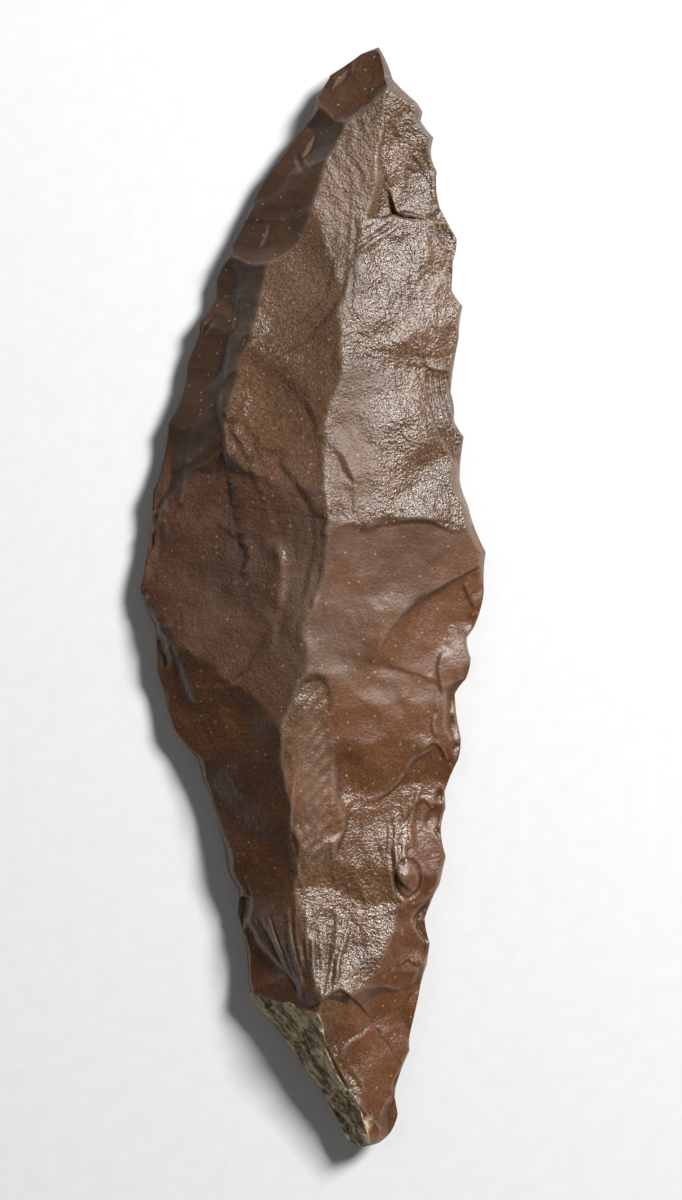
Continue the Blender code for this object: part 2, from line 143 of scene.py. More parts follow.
def swayed(x: np.ndarray, y: np.ndarray, sway: float) -> tuple[np.ndarray, np.ndarray]:
    """Places moved in short waves, so that a line drawn between them doesn't run straight.

    Args:
        x: Pixels across.
        y: Pixels down.
        sway: How far the longest wave moves a place, in pixels.

    Returns:
        The moved pixels across and down.
    """
    aside = np.sin(y / 15.0 + 0.9) + 0.8 * np.sin(y / 6.7 + x / 23.0) + 0.6 * np.sin((x + y) / 9.3)
    down = np.sin(x / 13.0 + 2.1) + 0.8 * np.sin(x / 7.1 - y / 19.0) + 0.6 * np.sin((x - y) / 10.1)
    return x + sway * aside, y + sway * down


def beside(x: np.ndarray, y: np.ndarray, line: np.ndarray, near: float) -> np.ndarray:
    """Which places lie in the box round a line.

    Args:
        x: Pixels across.
        y: Pixels down.
        line: The line's points, one in a row.
        near: How far the box reaches past the line, in pixels.

    Returns:
        True for each place in the box.
    """
    low, high = line.min(axis=0) - near, line.max(axis=0) + near
    return (x > low[0]) & (x < high[0]) & (y > low[1]) & (y < high[1])


def from_ends(x: np.ndarray, y: np.ndarray, line: np.ndarray) -> np.ndarray:
    """How far each place is from the nearer end of a line, in pixels."""
    first, last = line[0], line[-1]
    return np.minimum(np.hypot(x - first[0], y - first[1]), np.hypot(x - last[0], y - last[1]))


def distance_to(x: np.ndarray, y: np.ndarray, line: np.ndarray) -> np.ndarray:
    """How far each place is from a line, in drawn pixels.

    Args:
        x: Pixels across.
        y: Pixels down.
        line: The line's points, one in a row.

    Returns:
        The distance to the nearest point of the line.
    """
    nearest = np.full(np.broadcast(x, y).shape, np.inf)
    for start, end in zip(line, line[1:]):
        run = end - start
        share = np.clip(((x - start[0]) * run[0] + (y - start[1]) * run[1]) / max(run @ run, 1e-9), 0, 1)
        gap = np.hypot(x - start[0] - share * run[0], y - start[1] - share * run[1])
        nearest = np.minimum(nearest, gap)
    return nearest


def smoothed(points: tuple[Point, ...], steps: int = 5) -> np.ndarray:
    """A smooth line through a few points, as closer points.

    Args:
        points: The points that the line passes.
        steps: How many points each stretch gets.

    Returns:
        The line's points, one in a row.
    """
    given = np.array(points, float)
    if len(given) < 3:
        return given
    padded = np.vstack([2 * given[0] - given[1], given, 2 * given[-1] - given[-2]])
    made = []
    for before, start, end, after in zip(padded, padded[1:], padded[2:], padded[3:]):
        for t in np.linspace(0, 1, steps, endpoint=False):
            made.append(
                0.5 * (2 * start + (end - before) * t + (2 * before - 5 * start + 4 * end - after) * t**2
                       + (3 * start - before - 3 * end + after) * t**3)
            )
    return np.array([*made, given[-1]])


@dataclass(frozen=True)
class Fence:
    """A line that a scar stops at: past it the scar's surface climbs at this slope."""

    start: Point
    end: Point
    slope: float
    sway_mm: float = 0.20

    def climb(self, x: np.ndarray, y: np.ndarray, inside: Point) -> np.ndarray:
        """The height added past the line.

        Args:
            x: Pixels across.
            y: Pixels down.
            inside: A place on the side where nothing is added.

        Returns:
            The heights to add.
        """
        swayed_x, swayed_y = swayed(x, y, self.sway_mm * PIXELS_PER_MM)
        across = np.array((self.end[1] - self.start[1], self.start[0] - self.end[0]), float)
        across /= np.hypot(*across)
        towards = (inside[0] - self.start[0]) * across[0] + (inside[1] - self.start[1]) * across[1]
        beyond = (swayed_x - self.start[0]) * across[0] + (swayed_y - self.start[1]) * across[1]
        return self.slope * DRAWING.mm_per_pixel * np.maximum(-np.sign(towards) * beyond, 0)


@dataclass(frozen=True)
class Scar:
    """The hollow left by one flake, from where it was struck to where it ended."""

    name: str
    struck: Point
    ends: Point
    half_width: float
    low: float
    high: float
    hollow: float = 0.3
    cupped: float = 0.6
    fences: tuple[Fence, ...] = ()
    warm: float = 0.5
    matte: float = 0.4
    grain: float = 0.4
    # How much painted shade darkens this scar's colour
    dark: float = 0.0
    ripple_mm: float = 0.012
    ripple_pixels: float = 11.0
    swell_mm: float = 0.09

    def height(self, x: np.ndarray, y: np.ndarray) -> np.ndarray:
        """The scar's surface over the drawing, low where it was struck and high where it ended.

        Args:
            x: Pixels across.
            y: Pixels down.

        Returns:
            The surface's heights.
        """
        run_x, run_y = self.ends[0] - self.struck[0], self.ends[1] - self.struck[1]
        run = math.hypot(run_x, run_y)
        off_x, off_y = x - self.struck[0], y - self.struck[1]
        along = (off_x * run_x + off_y * run_y) / run**2
        aside = (off_y * run_x - off_x * run_y) / (run * self.half_width)
        sag = along * (1 - along)
        if self.hollow < 0:
            sag = np.maximum(sag, 0)
        height = self.low + (self.high - self.low) * along - 4 * self.hollow * sag + self.cupped * aside**2
        height = height + self.swell_mm * unevenness(x, y, self.struck[0] + 0.7 * self.struck[1])
        middle = (self.struck[0] + run_x / 2, self.struck[1] + run_y / 2)
        for fence in self.fences:
            height = height + fence.climb(x, y, middle)
        return height

    def ripples(self, x: np.ndarray, y: np.ndarray) -> np.ndarray:
        """Rings spreading from where the flake was struck.

        Args:
            x: Pixels across.
            y: Pixels down.

        Returns:
            The rings' heights.
        """
        away = np.hypot(x - self.struck[0], y - self.struck[1])
        wander = 2.2 * np.sin(x / 14.0 + self.struck[1]) + 1.8 * np.sin(y / 11.0 + self.struck[0])
        reach = math.hypot(self.ends[0] - self.struck[0], self.ends[1] - self.struck[1])
        growth = np.clip(away / reach, 0, 1)
        return self.ripple_mm * growth * np.sin(2 * np.pi * (away + wander) / self.ripple_pixels)


# The depth that a line has left at its ends, and the share of a ledge over which it fades out
LINE_END_DEPTH = 0.35
LEDGE_END = 0.22


@dataclass(frozen=True)
class Line:
    """A crack, groove or crest drawn over the surface, fading out at both ends."""

    relief: Relief
    width: float
    mm: float
    points: tuple[Point, ...]

    def height(self, x: np.ndarray, y: np.ndarray) -> np.ndarray:
        """The height that the line adds to the surface.

        Args:
            x: Pixels across.
            y: Pixels down.

        Returns:
            The heights to add.
        """
        line = smoothed(self.points)
        near = 3 * self.width
        close = beside(x, y, line, near)
        added = np.zeros(x.shape)
        if close.any():
            away = distance_to(x[close], y[close], line)
            inward = np.clip(from_ends(x[close], y[close], line) / near, 0, 1)
            fade = LINE_END_DEPTH + (1 - LINE_END_DEPTH) * inward
            added[close] = self.relief.value * self.mm * fade * np.exp(-((away / self.width) ** 2))
        return added


@dataclass(frozen=True)
class Ledge:
    """A step in the surface, raised on the right-hand side of its line as the photograph shows it."""

    points: tuple[Point, ...]
    width: float
    mm: float
    reach: float

    def height(self, x: np.ndarray, y: np.ndarray) -> np.ndarray:
        """The height that the step adds, which dies away behind the step and towards its ends.

        Args:
            x: Pixels across.
            y: Pixels down.

        Returns:
            The heights to add.
        """
        line = smoothed(self.points)
        close = beside(x, y, line, self.width + 3 * self.reach)
        added = np.zeros(x.shape)
        if not close.any():
            return added
        near_x, near_y = x[close], y[close]
        away, side = np.full(near_x.shape, np.inf), np.zeros(near_x.shape)
        for start, end in zip(line, line[1:]):
            run = end - start
            off_x, off_y = near_x - start[0], near_y - start[1]
            share = np.clip((off_x * run[0] + off_y * run[1]) / max(run @ run, 1e-9), 0, 1)
            distance = np.hypot(off_x - share * run[0], off_y - share * run[1])
            nearer = distance < away
            away = np.where(nearer, distance, away)
            side = np.where(nearer, np.sign(run[0] * off_y - run[1] * off_x), side)
        length = np.hypot(*np.diff(line, axis=0).T).sum()
        fade = eased(from_ends(near_x, near_y, line) / (LEDGE_END * length))
        rise = eased(side * away / self.width + 0.5)
        added[close] = self.mm * fade * rise * np.exp(-np.maximum(side * away, 0) / self.reach)
        return added


@dataclass(frozen=True)
class Mound:
    """A low oval rise, or with a negative height a dimple."""

    centre: Point
    radii: Point
    turn: float
    mm: float

    def share(self, x: np.ndarray, y: np.ndarray) -> np.ndarray:
        """How far into the oval each place is.

        Args:
            x: Pixels across.
            y: Pixels down.

        Returns:
            Shares from 0 outside to 1 in the middle.
        """
        turn = math.radians(self.turn)
        off_x, off_y = x - self.centre[0], y - self.centre[1]
        u = (off_x * math.cos(turn) + off_y * math.sin(turn)) / self.radii[0]
        v = (-off_x * math.sin(turn) + off_y * math.cos(turn)) / self.radii[1]
        return np.exp(-(u * u + v * v))

    def height(self, x: np.ndarray, y: np.ndarray) -> np.ndarray:
        """The height that the mound adds to the surface."""
        return self.mm * self.share(x, y)


@dataclass(frozen=True)
class Patch:
    """An oval area where one of the stone's masks is raised or lowered."""

    mask: Mask
    centre: Point
    radii: Point
    turn: float
    amount: float

    def added(self, x: np.ndarray, y: np.ndarray) -> np.ndarray:
        """What the patch adds to its mask."""
        return self.amount * Mound(self.centre, self.radii, self.turn, 1.0).share(x, y)


# How many waves make up an uneven surface, and how far they reach past their usual height
RUMPLE_WAVES = 9
RUMPLE_REACH = 1.6

# Each uneven surface's height and its waves' length in pixels
STRAYS = ((4.0, 95.0), (1.2, 38.0), (0.25, 16.0))
SWELLS = ((0.05, 60.0), (0.03, 28.0), (0.014, 12.0))


def rumple(x: np.ndarray, y: np.ndarray, wavelength: float, seed: int) -> np.ndarray:
    """An uneven surface from about -1 to 1, made of waves in many directions.

    Args:
        x: Pixels across.
        y: Pixels down.
        wavelength: The waves' length in pixels.
        seed: Picks the waves.

    Returns:
        The surface's heights.
    """
    draw = np.random.default_rng(seed)
    total = np.zeros(np.broadcast(x, y).shape)
    for _ in range(RUMPLE_WAVES):
        heading, phase = draw.uniform(0, 2 * np.pi, 2)
        length = wavelength * draw.uniform(0.7, 1.5)
        total += np.sin(2 * np.pi * (x * np.cos(heading) + y * np.sin(heading)) / length + phase)
    return total / math.sqrt(RUMPLE_WAVES / 2) / RUMPLE_REACH


def rumples(x: np.ndarray, y: np.ndarray, sizes: tuple[tuple[float, float], ...], seed: int) -> np.ndarray:
    """Uneven surfaces of several sizes, added up.

    Args:
        x: Pixels across.
        y: Pixels down.
        sizes: Each surface's height and its waves' length in pixels.
        seed: Picks the waves of the first surface, and the next number those of the next.

    Returns:
        The heights.
    """
    return sum(high * rumple(x, y, length, seed + k) for k, (high, length) in enumerate(sizes))


def strayed(x: np.ndarray, y: np.ndarray) -> tuple[np.ndarray, np.ndarray]:
    """Places moved a little this way and that, so that no border between two scars is straight."""
    return x + rumples(x, y, STRAYS, 11), y + rumples(x, y, STRAYS, 14)


@dataclass(frozen=True)
class Fluting:
    """Close, uneven ridges that run side by side over an oval area, along its first radius."""

    centre: Point
    radii: Point
    turn: float
    pitch: float
    mm: float

    def height(self, x: np.ndarray, y: np.ndarray) -> np.ndarray:
        """The height that the ridges add to the surface.

        Args:
            x: Pixels across.
            y: Pixels down.

        Returns:
            The heights to add.
        """
        turn = math.radians(self.turn)
        across = (y - self.centre[1]) * math.cos(turn) - (x - self.centre[0]) * math.sin(turn)
        seed = int(self.centre[0] + self.centre[1])
        wander = 0.4 * self.pitch * rumple(x, y, 3.5 * self.pitch, seed)
        strength = 0.6 + 0.6 * rumple(x, y, 2.5 * self.pitch, seed + 1)
        share = Mound(self.centre, self.radii, self.turn, 1.0).share(x, y)
        return self.mm * share * strength * np.sin(2 * np.pi * (across + wander) / self.pitch)


# The finish that all scars of the steep back, or all that were pressed off, have in common; the steep
# back's dark share is painted shade
STEEP_FINISH = {"matte": 0.9, "grain": 0.2, "dark": 0.4}
PRESSED_FINISH = {"warm": 0.9, "matte": 0.6, "grain": 0.3}

STEEP_BACK = (
    Scar("back_tip", (335, 74), (356, 90), 34, 2.6, 4.6, -0.2, 0.8, **STEEP_FINISH),
    Scar("back_1", (306, 112), (340, 112), 30, 2.4, 5.9, -0.2, 0.7, **STEEP_FINISH),
    Scar("back_2", (280, 160), (322, 166), 34, 2.4, 6.7, -0.2, 0.7, **STEEP_FINISH),
    Scar("back_3", (250, 212), (302, 222), 30, 2.4, 7.2, -0.1, 0.7, **STEEP_FINISH),
    Scar("back_4", (222, 268), (262, 258), 36, 2.5, 7.0, -0.2, 0.8, **STEEP_FINISH),
    Scar("back_5", (204, 318), (250, 306), 34, 2.5, 7.1, -0.2, 0.8, **STEEP_FINISH),
    Scar("back_6", (184, 372), (238, 360), 40, 2.5, 7.4, -0.2, 0.7, **STEEP_FINISH),
    Scar("back_7", (164, 436), (226, 428), 40, 2.5, 7.3, -0.2, 0.7,
         (Fence((224, 380), (230, 470), 1.0),), **STEEP_FINISH),
)
TIP_AND_UPPER_FACE = (
    # The tip's top scar is darkened by painted shade
    Scar("tip_top", (352, 58), (386, 100), 40, 3.3, 5.6, 0.1, 0.4, (Fence((397, 82), (344, 117), 1.2),),
         warm=0.5, matte=0.3, grain=0.5, dark=0.35),
    Scar("tip_left", (386, 155), (325, 168), 90, 6.1, 6.9, 0.1, 0.4,
         (Fence((384, 120), (386, 205), 0.5),), warm=0.4, matte=0.6, grain=0.9),
    Scar("tip_right", (440, 172), (388, 160), 60, 2.9, 5.2, 0.0, 0.3,
         (Fence((382, 125), (385, 190), 0.6), Fence((390, 219), (441, 217), 3.0)),
         warm=0.4, matte=0.2, grain=1.0),
    Scar("upper_face", (455, 282), (350, 306), 110, 2.9, 8.1, -0.15, 0.35,
         (Fence((394, 217), (444, 217), 2.4), Fence((340, 366), (455, 370), 0.22)),
         warm=0.4, matte=0.1, grain=1.0),
    Scar("gloss_face", (462, 415), (326, 442), 90, 3.1, 9.8, -0.8, 0.12,
         (Fence((345, 352), (455, 366), 0.14), Fence((338, 521), (470, 526), 1.0)),
         warm=0.4, matte=0.0, grain=1.0, ripple_mm=0.005),
)
CUTTING_SIDE = (
    Scar("brown_face", (485, 602), (328, 562), 110, 3.0, 10.4, 0.1, 0.2,
         (Fence((336, 524), (470, 528), 0.6), Fence((330, 664), (460, 676), 0.12)),
         warm=0.6, matte=1.0, grain=0.2),
    Scar("orange_hollow", (478, 640), (388, 640), 52, 2.9, 6.9, 0.5, 0.4,
         (Fence((464, 577), (400, 612), 1.4), Fence((402, 604), (378, 655), 1.4),
          Fence((383, 666), (445, 684), 1.2)),
         warm=0.7, matte=0.6, grain=0.2),
    Scar("orange_face", (460, 755), (328, 714), 110, 3.0, 8.9, 0.0, 0.4,
         (Fence((375, 660), (450, 686), 0.15), Fence((350, 812), (440, 745), 0.35)),
         warm=0.8, matte=0.6, grain=0.2),
    Scar("ridge_strip", (345, 790), (288, 785), 200, 7.9, 10.0, 0.05, 0.2,
         (Fence((285, 888), (345, 888), 0.3), Fence((268, 690), (345, 678), 0.5),
          Fence((327, 680), (342, 880), 1.0)),
         warm=0.5, matte=0.2, grain=0.5),
    Scar("lower_gloss", (396, 840), (337, 860), 90, 5.2, 7.5, 0.0, 0.3,
         (Fence((340, 796), (400, 785), 0.3), Fence((338, 780), (342, 890), 1.2)),
         warm=0.6, matte=0.3, grain=0.4),
    Scar("retouch_1", (446, 806), (388, 798), 26, 2.9, 6.9, 0.3, 0.5, **PRESSED_FINISH),
    Scar("retouch_2", (444, 850), (388, 846), 26, 2.9, 6.5, 0.4, 0.5, **PRESSED_FINISH),
    Scar("retouch_3", (434, 900), (386, 890), 28, 2.9, 6.3, 0.3, 0.5, **PRESSED_FINISH),
    Scar("retouch_4", (430, 952), (386, 946), 30, 2.9, 6.2, 0.3, 0.5, **PRESSED_FINISH),
    Scar("retouch_5", (420, 998), (380, 992), 24, 2.9, 5.8, 0.3, 0.5, **PRESSED_FINISH),
)
LOWER_FACE = (
    Scar("lower_right", (388, 945), (340, 960), 90, 6.2, 8.3, 0.1, 0.4,
         (Fence((340, 885), (392, 885), 0.12),), warm=0.6, matte=0.1, grain=0.6),
    Scar("streaked_face", (352, 905), (276, 950), 75, 6.4, 9.4, -0.1, 0.4,
         (Fence((285, 885), (345, 895), 0.3),), warm=0.5, matte=0.0, grain=0.7),
    Scar("dark_chip", (246, 962), (298, 968), 32, 2.6, 7.6, 0.3, 0.6,
         (Fence((254, 930), (300, 988), 3.0),), warm=1.0, matte=0.1, grain=0.1),
    Scar("butt_ridge", (366, 1030), (322, 1008), 60, 6.0, 8.2, 0.2, 0.5,
         (Fence((300, 985), (366, 1004), 0.6),), warm=0.6, matte=0.3, grain=0.5),
    Scar("butt_right", (408, 1060), (343, 1058), 75, 2.9, 7.2, 0.2, 0.5,
         (Fence((340, 1000), (420, 985), 0.8),), warm=0.8, matte=0.5, grain=0.3),
    Scar("butt_end", (396, 1112), (362, 1112), 30, 3.2, 7.6, 0.2, 0.5, warm=0.7, matte=0.5, grain=0.3),
    Scar("cortex", (304, 1073), (336, 1050), 160, 2.6, 7.4, -0.1, 0.4,
         (Fence((240, 1001), (320, 1001), 4.0),)),
)
BACK_SIDE = (
    Scar("upper_hollow", (258, 272), (352, 288), 80, 7.1, 8.4, 0.6, 0.5, warm=0.4, matte=0.3, grain=0.7),
    Scar("rough_hollow", (224, 400), (322, 420), 56, 7.0, 9.2, 0.6, 0.5,
         (Fence((225, 466), (312, 505), 0.3),), warm=0.4, matte=0.3, grain=0.6),
    Scar("purple_face", (146, 575), (322, 590), 110, 2.7, 10.4, -0.2, 0.6,
         (Fence((150, 470), (312, 480), 0.35),), warm=0.0, matte=0.3, grain=0.4),
    Scar("lower_back", (196, 785), (294, 757), 130, 2.5, 10.4, 0.1, 0.5, warm=0.7, matte=0.3, grain=0.4),
    Scar("lowest_back", (241, 905), (268, 905), 60, 2.5, 8.5, 0.1, 0.6,
         (Fence((246, 940), (290, 930), 0.6), Fence((200, 898), (290, 892), 3.0)),
         warm=0.5, matte=0.3, grain=0.4),
)
CORTEX_SCARS = ("cortex",)

LEDGES = (
    # The step that the topmost scar of the cutting side ends in
    Ledge(((441, 207), (432, 217), (422, 221), (408, 219), (397, 216), (392, 203), (389, 190)),
          1.8, 0.55, 22),
    # Edges of the scars near the tip and the ridge
    Ledge(((354, 260), (366, 248), (380, 238), (393, 231), (401, 217)), 3.0, 0.16, 12),
    Ledge(((386, 130), (388, 150), (389, 170), (388, 190)), 5.0, 0.12, 14),
    Ledge(((426, 282), (423, 306), (424, 336), (422, 368)), 5.0, 0.10, 24),
    Ledge(((454, 371), (440, 372), (424, 369)), 1.8, 0.28, 16),
    Ledge(((330, 372), (338, 352), (350, 340), (364, 330)), 4.0, 0.14, 14),
    # Rings in the hollow left of the ridge
    Ledge(((300, 348), (320, 332), (334, 315), (344, 297), (349, 275), (350, 252)), 7.0, 0.34, 30),
    Ledge(((296, 328), (315, 315), (327, 299), (334, 278), (336, 256)), 6.0, 0.16, 18),
    # Steps and hollows in the rough part left of the ridge
    Ledge(((230, 470), (227, 452), (225, 432), (220, 410), (223, 388)), 2.6, 0.50, 50),
    Ledge(((250, 464), (244, 449), (237, 438), (231, 426)), 2.4, 0.30, 30),
    Ledge(((267, 472), (262, 455), (255, 440)), 2.4, 0.18, 12),
    Ledge(((319, 446), (317, 430), (311, 412), (300, 399)), 3.2, 0.28, 14),
    Ledge(((320, 524), (309, 501), (293, 479), (277, 461)), 5.0, 0.32, 22),
    Ledge(((250, 392), (258, 372), (272, 358), (292, 352)), 6.0, 0.18, 20),
    # The low ridge between the gloss face and the brown face
    Ledge(((472, 528), (440, 521), (410, 521), (380, 526), (345, 522)), 2.2, 0.10, 60),
    Ledge(((340, 520), (352, 512), (354, 500), (346, 480), (338, 462)), 4.0, 0.16, 16),
    # The crescent left by a flake that broke short, and the marks near it
    Ledge(((240, 576), (247, 567), (250, 557), (247, 547), (239, 540)), 2.2, 0.38, 13),
    Ledge(((279, 536), (285, 556), (286, 584), (281, 614)), 7.0, 0.60, 16),
    Ledge(((210, 671), (222, 684), (242, 676), (260, 652), (272, 624)), 5.0, 0.22, 24),
    Ledge(((203, 718), (190, 690), (177, 652), (166, 626), (154, 602)), 9.0, 0.30, 24),
    Ledge(((178, 508), (183, 488), (187, 468)), 3.0, 0.28, 14),
    Ledge(((160, 566), (165, 540), (162, 516), (168, 496)), 5.0, 0.22, 14),
    # The orange hollow and what lies around it
    Ledge(((464, 577), (450, 581), (426, 597), (404, 612), (389, 632), (379, 651), (382, 663)),
          3.0, 0.30, 26),
    Ledge(((440, 684), (420, 675), (402, 669), (383, 664)), 3.0, 0.16, 20),
    Ledge(((476, 613), (468, 595), (462, 580)), 1.8, 0.25, 10),
    Ledge(((446, 700), (440, 684), (438, 664), (444, 646)), 3.4, 0.30, 14),
    Ledge(((448, 764), (441, 748), (431, 743), (420, 752)), 2.4, 0.28, 10),
    Ledge(((436, 738), (432, 726), (434, 712)), 2.4, 0.25, 9),
    Ledge(((443, 747), (430, 750), (411, 762), (400, 780), (385, 793), (365, 804)), 3.0, 0.26, 30),
    Ledge(((356, 548), (360, 570), (370, 598), (392, 616)), 8.0, 0.12, 26),
    # The strip beside the central ridge
    Ledge(((306, 688), (312, 714), (322, 744), (330, 776)), 9.0, 0.12, 14),
    Ledge(((300, 768), (298, 790), (292, 830), (297, 864)), 6.0, 0.18, 16),
    Ledge(((318, 562), (315, 588), (319, 612), (317, 640)), 4.0, 0.16, 10),
    # Pressed scars along the lower cutting edge
    Ledge(((420, 890), (408, 886), (396, 872), (394, 842)), 2.6, 0.32, 14),
    Ledge(((436, 892), (422, 901), (406, 906)), 2.4, 0.24, 12),
    Ledge(((436, 812), (424, 800), (412, 806), (405, 822)), 2.6, 0.22, 12),
    Ledge(((420, 966), (408, 958), (398, 964)), 2.6, 0.18, 12),
    # Steps across the lower face, and the edge of the rind
    Ledge(((374, 1020), (363, 1004), (350, 990), (338, 984), (320, 995), (302, 1003)), 3.0, 0.36, 24),
    Ledge(((303, 1003), (297, 980), (284, 955), (270, 930), (258, 905)), 5.0, 0.40, 20),
    Ledge(((386, 1132), (368, 1112), (352, 1090), (338, 1062), (318, 1022), (302, 1003)), 4.0, 0.28, 12),
    Ledge(((338, 1046), (350, 1036), (362, 1030), (372, 1020)), 3.0, 0.18, 12),
)
LINES = (
    # The crack round the end of the topmost scar
    Line(Relief.GROOVE, 1.4, 0.40, ((384, 190), (388, 196), (391, 205), (393, 214), (400, 218), (412, 220),
                                    (423, 220), (432, 216), (440, 210))),
    # The sharp left side of the central ridge
    Line(Relief.GROOVE, 1.8, 0.12, ((353, 216), (356, 236), (353, 258), (352, 290), (350, 322),
                                    (345, 350))),
    # A short mark at the foot of the ridge
    Line(Relief.GROOVE, 2.2, 0.16, ((340, 352), (346, 344), (356, 338), (365, 342))),
    # Nicks in the steep back
    Line(Relief.GROOVE, 2.4, 0.35, ((299, 158), (302, 166), (306, 173))),
    Line(Relief.GROOVE, 2.6, 0.25, ((215, 318), (208, 326), (200, 338))),
    # Rings below the topmost scars
    Line(Relief.CREST, 2.6, 0.14, ((357, 246), (368, 238), (382, 228), (390, 220))),
    Line(Relief.CREST, 2.4, 0.10, ((358, 232), (369, 228), (380, 220), (388, 212))),
    Line(Relief.CREST, 2.4, 0.10, ((360, 256), (372, 246), (384, 238), (396, 228))),
    # Rings in the small round chip on the cutting edge
    Line(Relief.CREST, 1.8, 0.16, ((434, 224), (436, 238), (444, 248), (455, 250))),
    Line(Relief.CREST, 1.6, 0.14, ((438, 220), (441, 232), (447, 240), (456, 243))),
    Line(Relief.CREST, 1.6, 0.12, ((443, 220), (446, 229), (452, 235))),
    # The glassy inclusion in the gloss face
    Line(Relief.CREST, 1.7, 0.22, ((340, 453), (346, 461), (351, 472), (356, 484))),
    Line(Relief.GROOVE, 1.7, 0.26, ((337, 458), (341, 468), (347, 478), (353, 486))),
    Line(Relief.CREST, 3.5, 0.10, ((336, 462), (334, 480), (338, 498), (346, 512))),
    # The crest beside the rind
    Line(Relief.CREST, 3.0, 0.10, ((340, 1062), (350, 1085), (360, 1102), (370, 1116), (385, 1130))),
    # Thin crests where scars meet
    Line(Relief.CREST, 1.7, 0.06, ((335, 466), (336, 490), (344, 515), (358, 525), (380, 526), (410, 521),
                                   (440, 520), (464, 527))),
    Line(Relief.CREST, 1.8, 0.08, ((352, 522), (336, 530), (329, 550), (329, 590), (323, 640), (322, 690))),
    Line(Relief.CREST, 1.8, 0.08, ((322, 690), (331, 735), (333, 790), (333, 850), (337, 884))),
    Line(Relief.CREST, 1.7, 0.07, ((464, 577), (452, 584), (430, 594), (405, 610), (388, 630), (378, 652))),
    Line(Relief.CREST, 1.7, 0.05, ((398, 650), (394, 640), (400, 622), (416, 606), (440, 590), (456, 581))),
    Line(Relief.CREST, 1.8, 0.12, ((288, 744), (296, 764), (294, 795), (292, 830), (296, 855), (306, 890))),
    # Folds left of the central ridge
    Line(Relief.GROOVE, 2.4, 0.12, ((311, 520), (314, 545), (308, 570), (303, 600))),
    Line(Relief.GROOVE, 2.4, 0.12, ((321, 530), (321, 560), (314, 590), (309, 612))),
    Line(Relief.CREST, 2.4, 0.08, ((316, 524), (318, 552), (311, 580), (306, 606))),
    # The small egg-shaped scar on the lower cutting edge, and the lobe beside it
    Line(Relief.GROOVE, 1.7, 0.22, ((407, 857), (416, 863), (420, 876), (417, 889), (408, 896), (399, 890),
                                    (395, 877), (398, 864), (407, 857))),
    Line(Relief.CREST, 2.0, 0.16, ((420, 786), (414, 806), (409, 826), (411, 842))),
    Line(Relief.CREST, 1.8, 0.12, ((390, 826), (388, 850), (390, 872), (395, 900))),
)

MOUNDS = (
    Mound((281, 446), (20, 11), -12, 0.28),
    Mound((300, 408), (14, 22), 20, 0.14),
    Mound((262, 392), (15, 26), 10, -0.22),
    Mound((262, 310), (24, 30), 30, -0.10),
    Mound((398, 855), (5, 16), -10, 0.16),
    Mound((407, 875), (9, 14), -8, 0.36),
    Mound((422, 822), (9, 12), 0, -0.20),
    Mound((446, 233), (10, 14), 30, -0.35),
    Mound((222, 578), (12, 30), 0, -0.10),
    Mound((405, 640), (24, 16), -30, -0.12),
    Mound((343, 1050), (16, 10), -40, 0.34),
    Mound((318, 1022), (15, 9), -35, 0.34),
    Mound((402, 931), (2.6, 5), 0, 0.10),
    Mound((317, 283), (2.6, 4), -30, 0.10),
    Mound((294, 742), (10, 24), -15, 0.10),
    Mound((172, 486), (7, 22), 12, -0.20),
    Mound((165, 552), (9, 12), 0, -0.18),
)

FLUTINGS = (
    Fluting((425, 305), (80, 30), 84, 13, 0.045),
    Fluting((380, 280), (60, 26), 70, 17, 0.035),
    Fluting((352, 420), (60, 22), 62, 20, 0.06),
    Fluting((360, 160), (50, 24), 78, 15, 0.035),
    Fluting((412, 160), (50, 22), 66, 13, 0.05),
    Fluting((300, 600), (70, 40), 80, 24, 0.03),
    Fluting((250, 640), (70, 50), 40, 34, 0.04),
    Fluting((240, 330), (60, 40), 70, 22, 0.05),
    Fluting((410, 860), (90, 26), 84, 15, 0.08),
    Fluting((372, 860), (80, 22), 78, 14, 0.07),
    Fluting((400, 690), (60, 50), 30, 26, 0.05),
    Fluting((360, 1060), (50, 30), 60, 16, 0.07),
)


def edge_grooves() -> Iterator[Line]:
    """The close, curved grooves below the step on the cutting edge.

    Yields:
        Each groove.
    """
    for k in range(5):
        upper = ((427 + 5 * k, 374), (429 + 5.5 * k, 398), (438 + 4.6 * k, 428))
        lower = ((449 + 3 * k, 448), (456 + 2 * k, 462))
        yield Line(Relief.GROOVE, 1.6, 0.30, (*upper, *lower))


def strip_ripples() -> Iterator[Line]:
    """The slanting ripples down the strip beside the central ridge.

    Yields:
        Each ripple.
    """
    for k in range(12):
        y = 700 + 15 * k
        yield Line(Relief.CREST, 2.4, 0.085, ((303, y + 14), (314, y), (330, y - 18)))


def fan_streaks(draw: np.random.Generator) -> Iterator[Line]:
    """The fibrous streaks of the glossy face near the butt, which fan out upwards.

    Args:
        draw: The random numbers.

    Yields:
        Each streak.
    """
    for k in range(26):
        share = draw.uniform(0, 1)
        start = draw.uniform(0.0, 0.45)
        foot = (306 + 30 * share, 998 - 12 * share)
        head_x = 296 + 52 * share + draw.uniform(-4, 4)
        head = (head_x, 902 + 14 * math.sin(2.5 * share) + draw.uniform(-8, 26))
        low = tuple(foot[axis] + start * (head[axis] - foot[axis]) for axis in (0, 1))
        middle = ((low[0] + head[0]) / 2 + draw.uniform(-4, 3), (low[1] + head[1]) / 2)
        relief = Relief.GROOVE if k % 3 == 0 else Relief.CREST
        yield Line(relief, draw.uniform(1.5, 2.6), draw.uniform(0.06, 0.13), (low, middle, head))


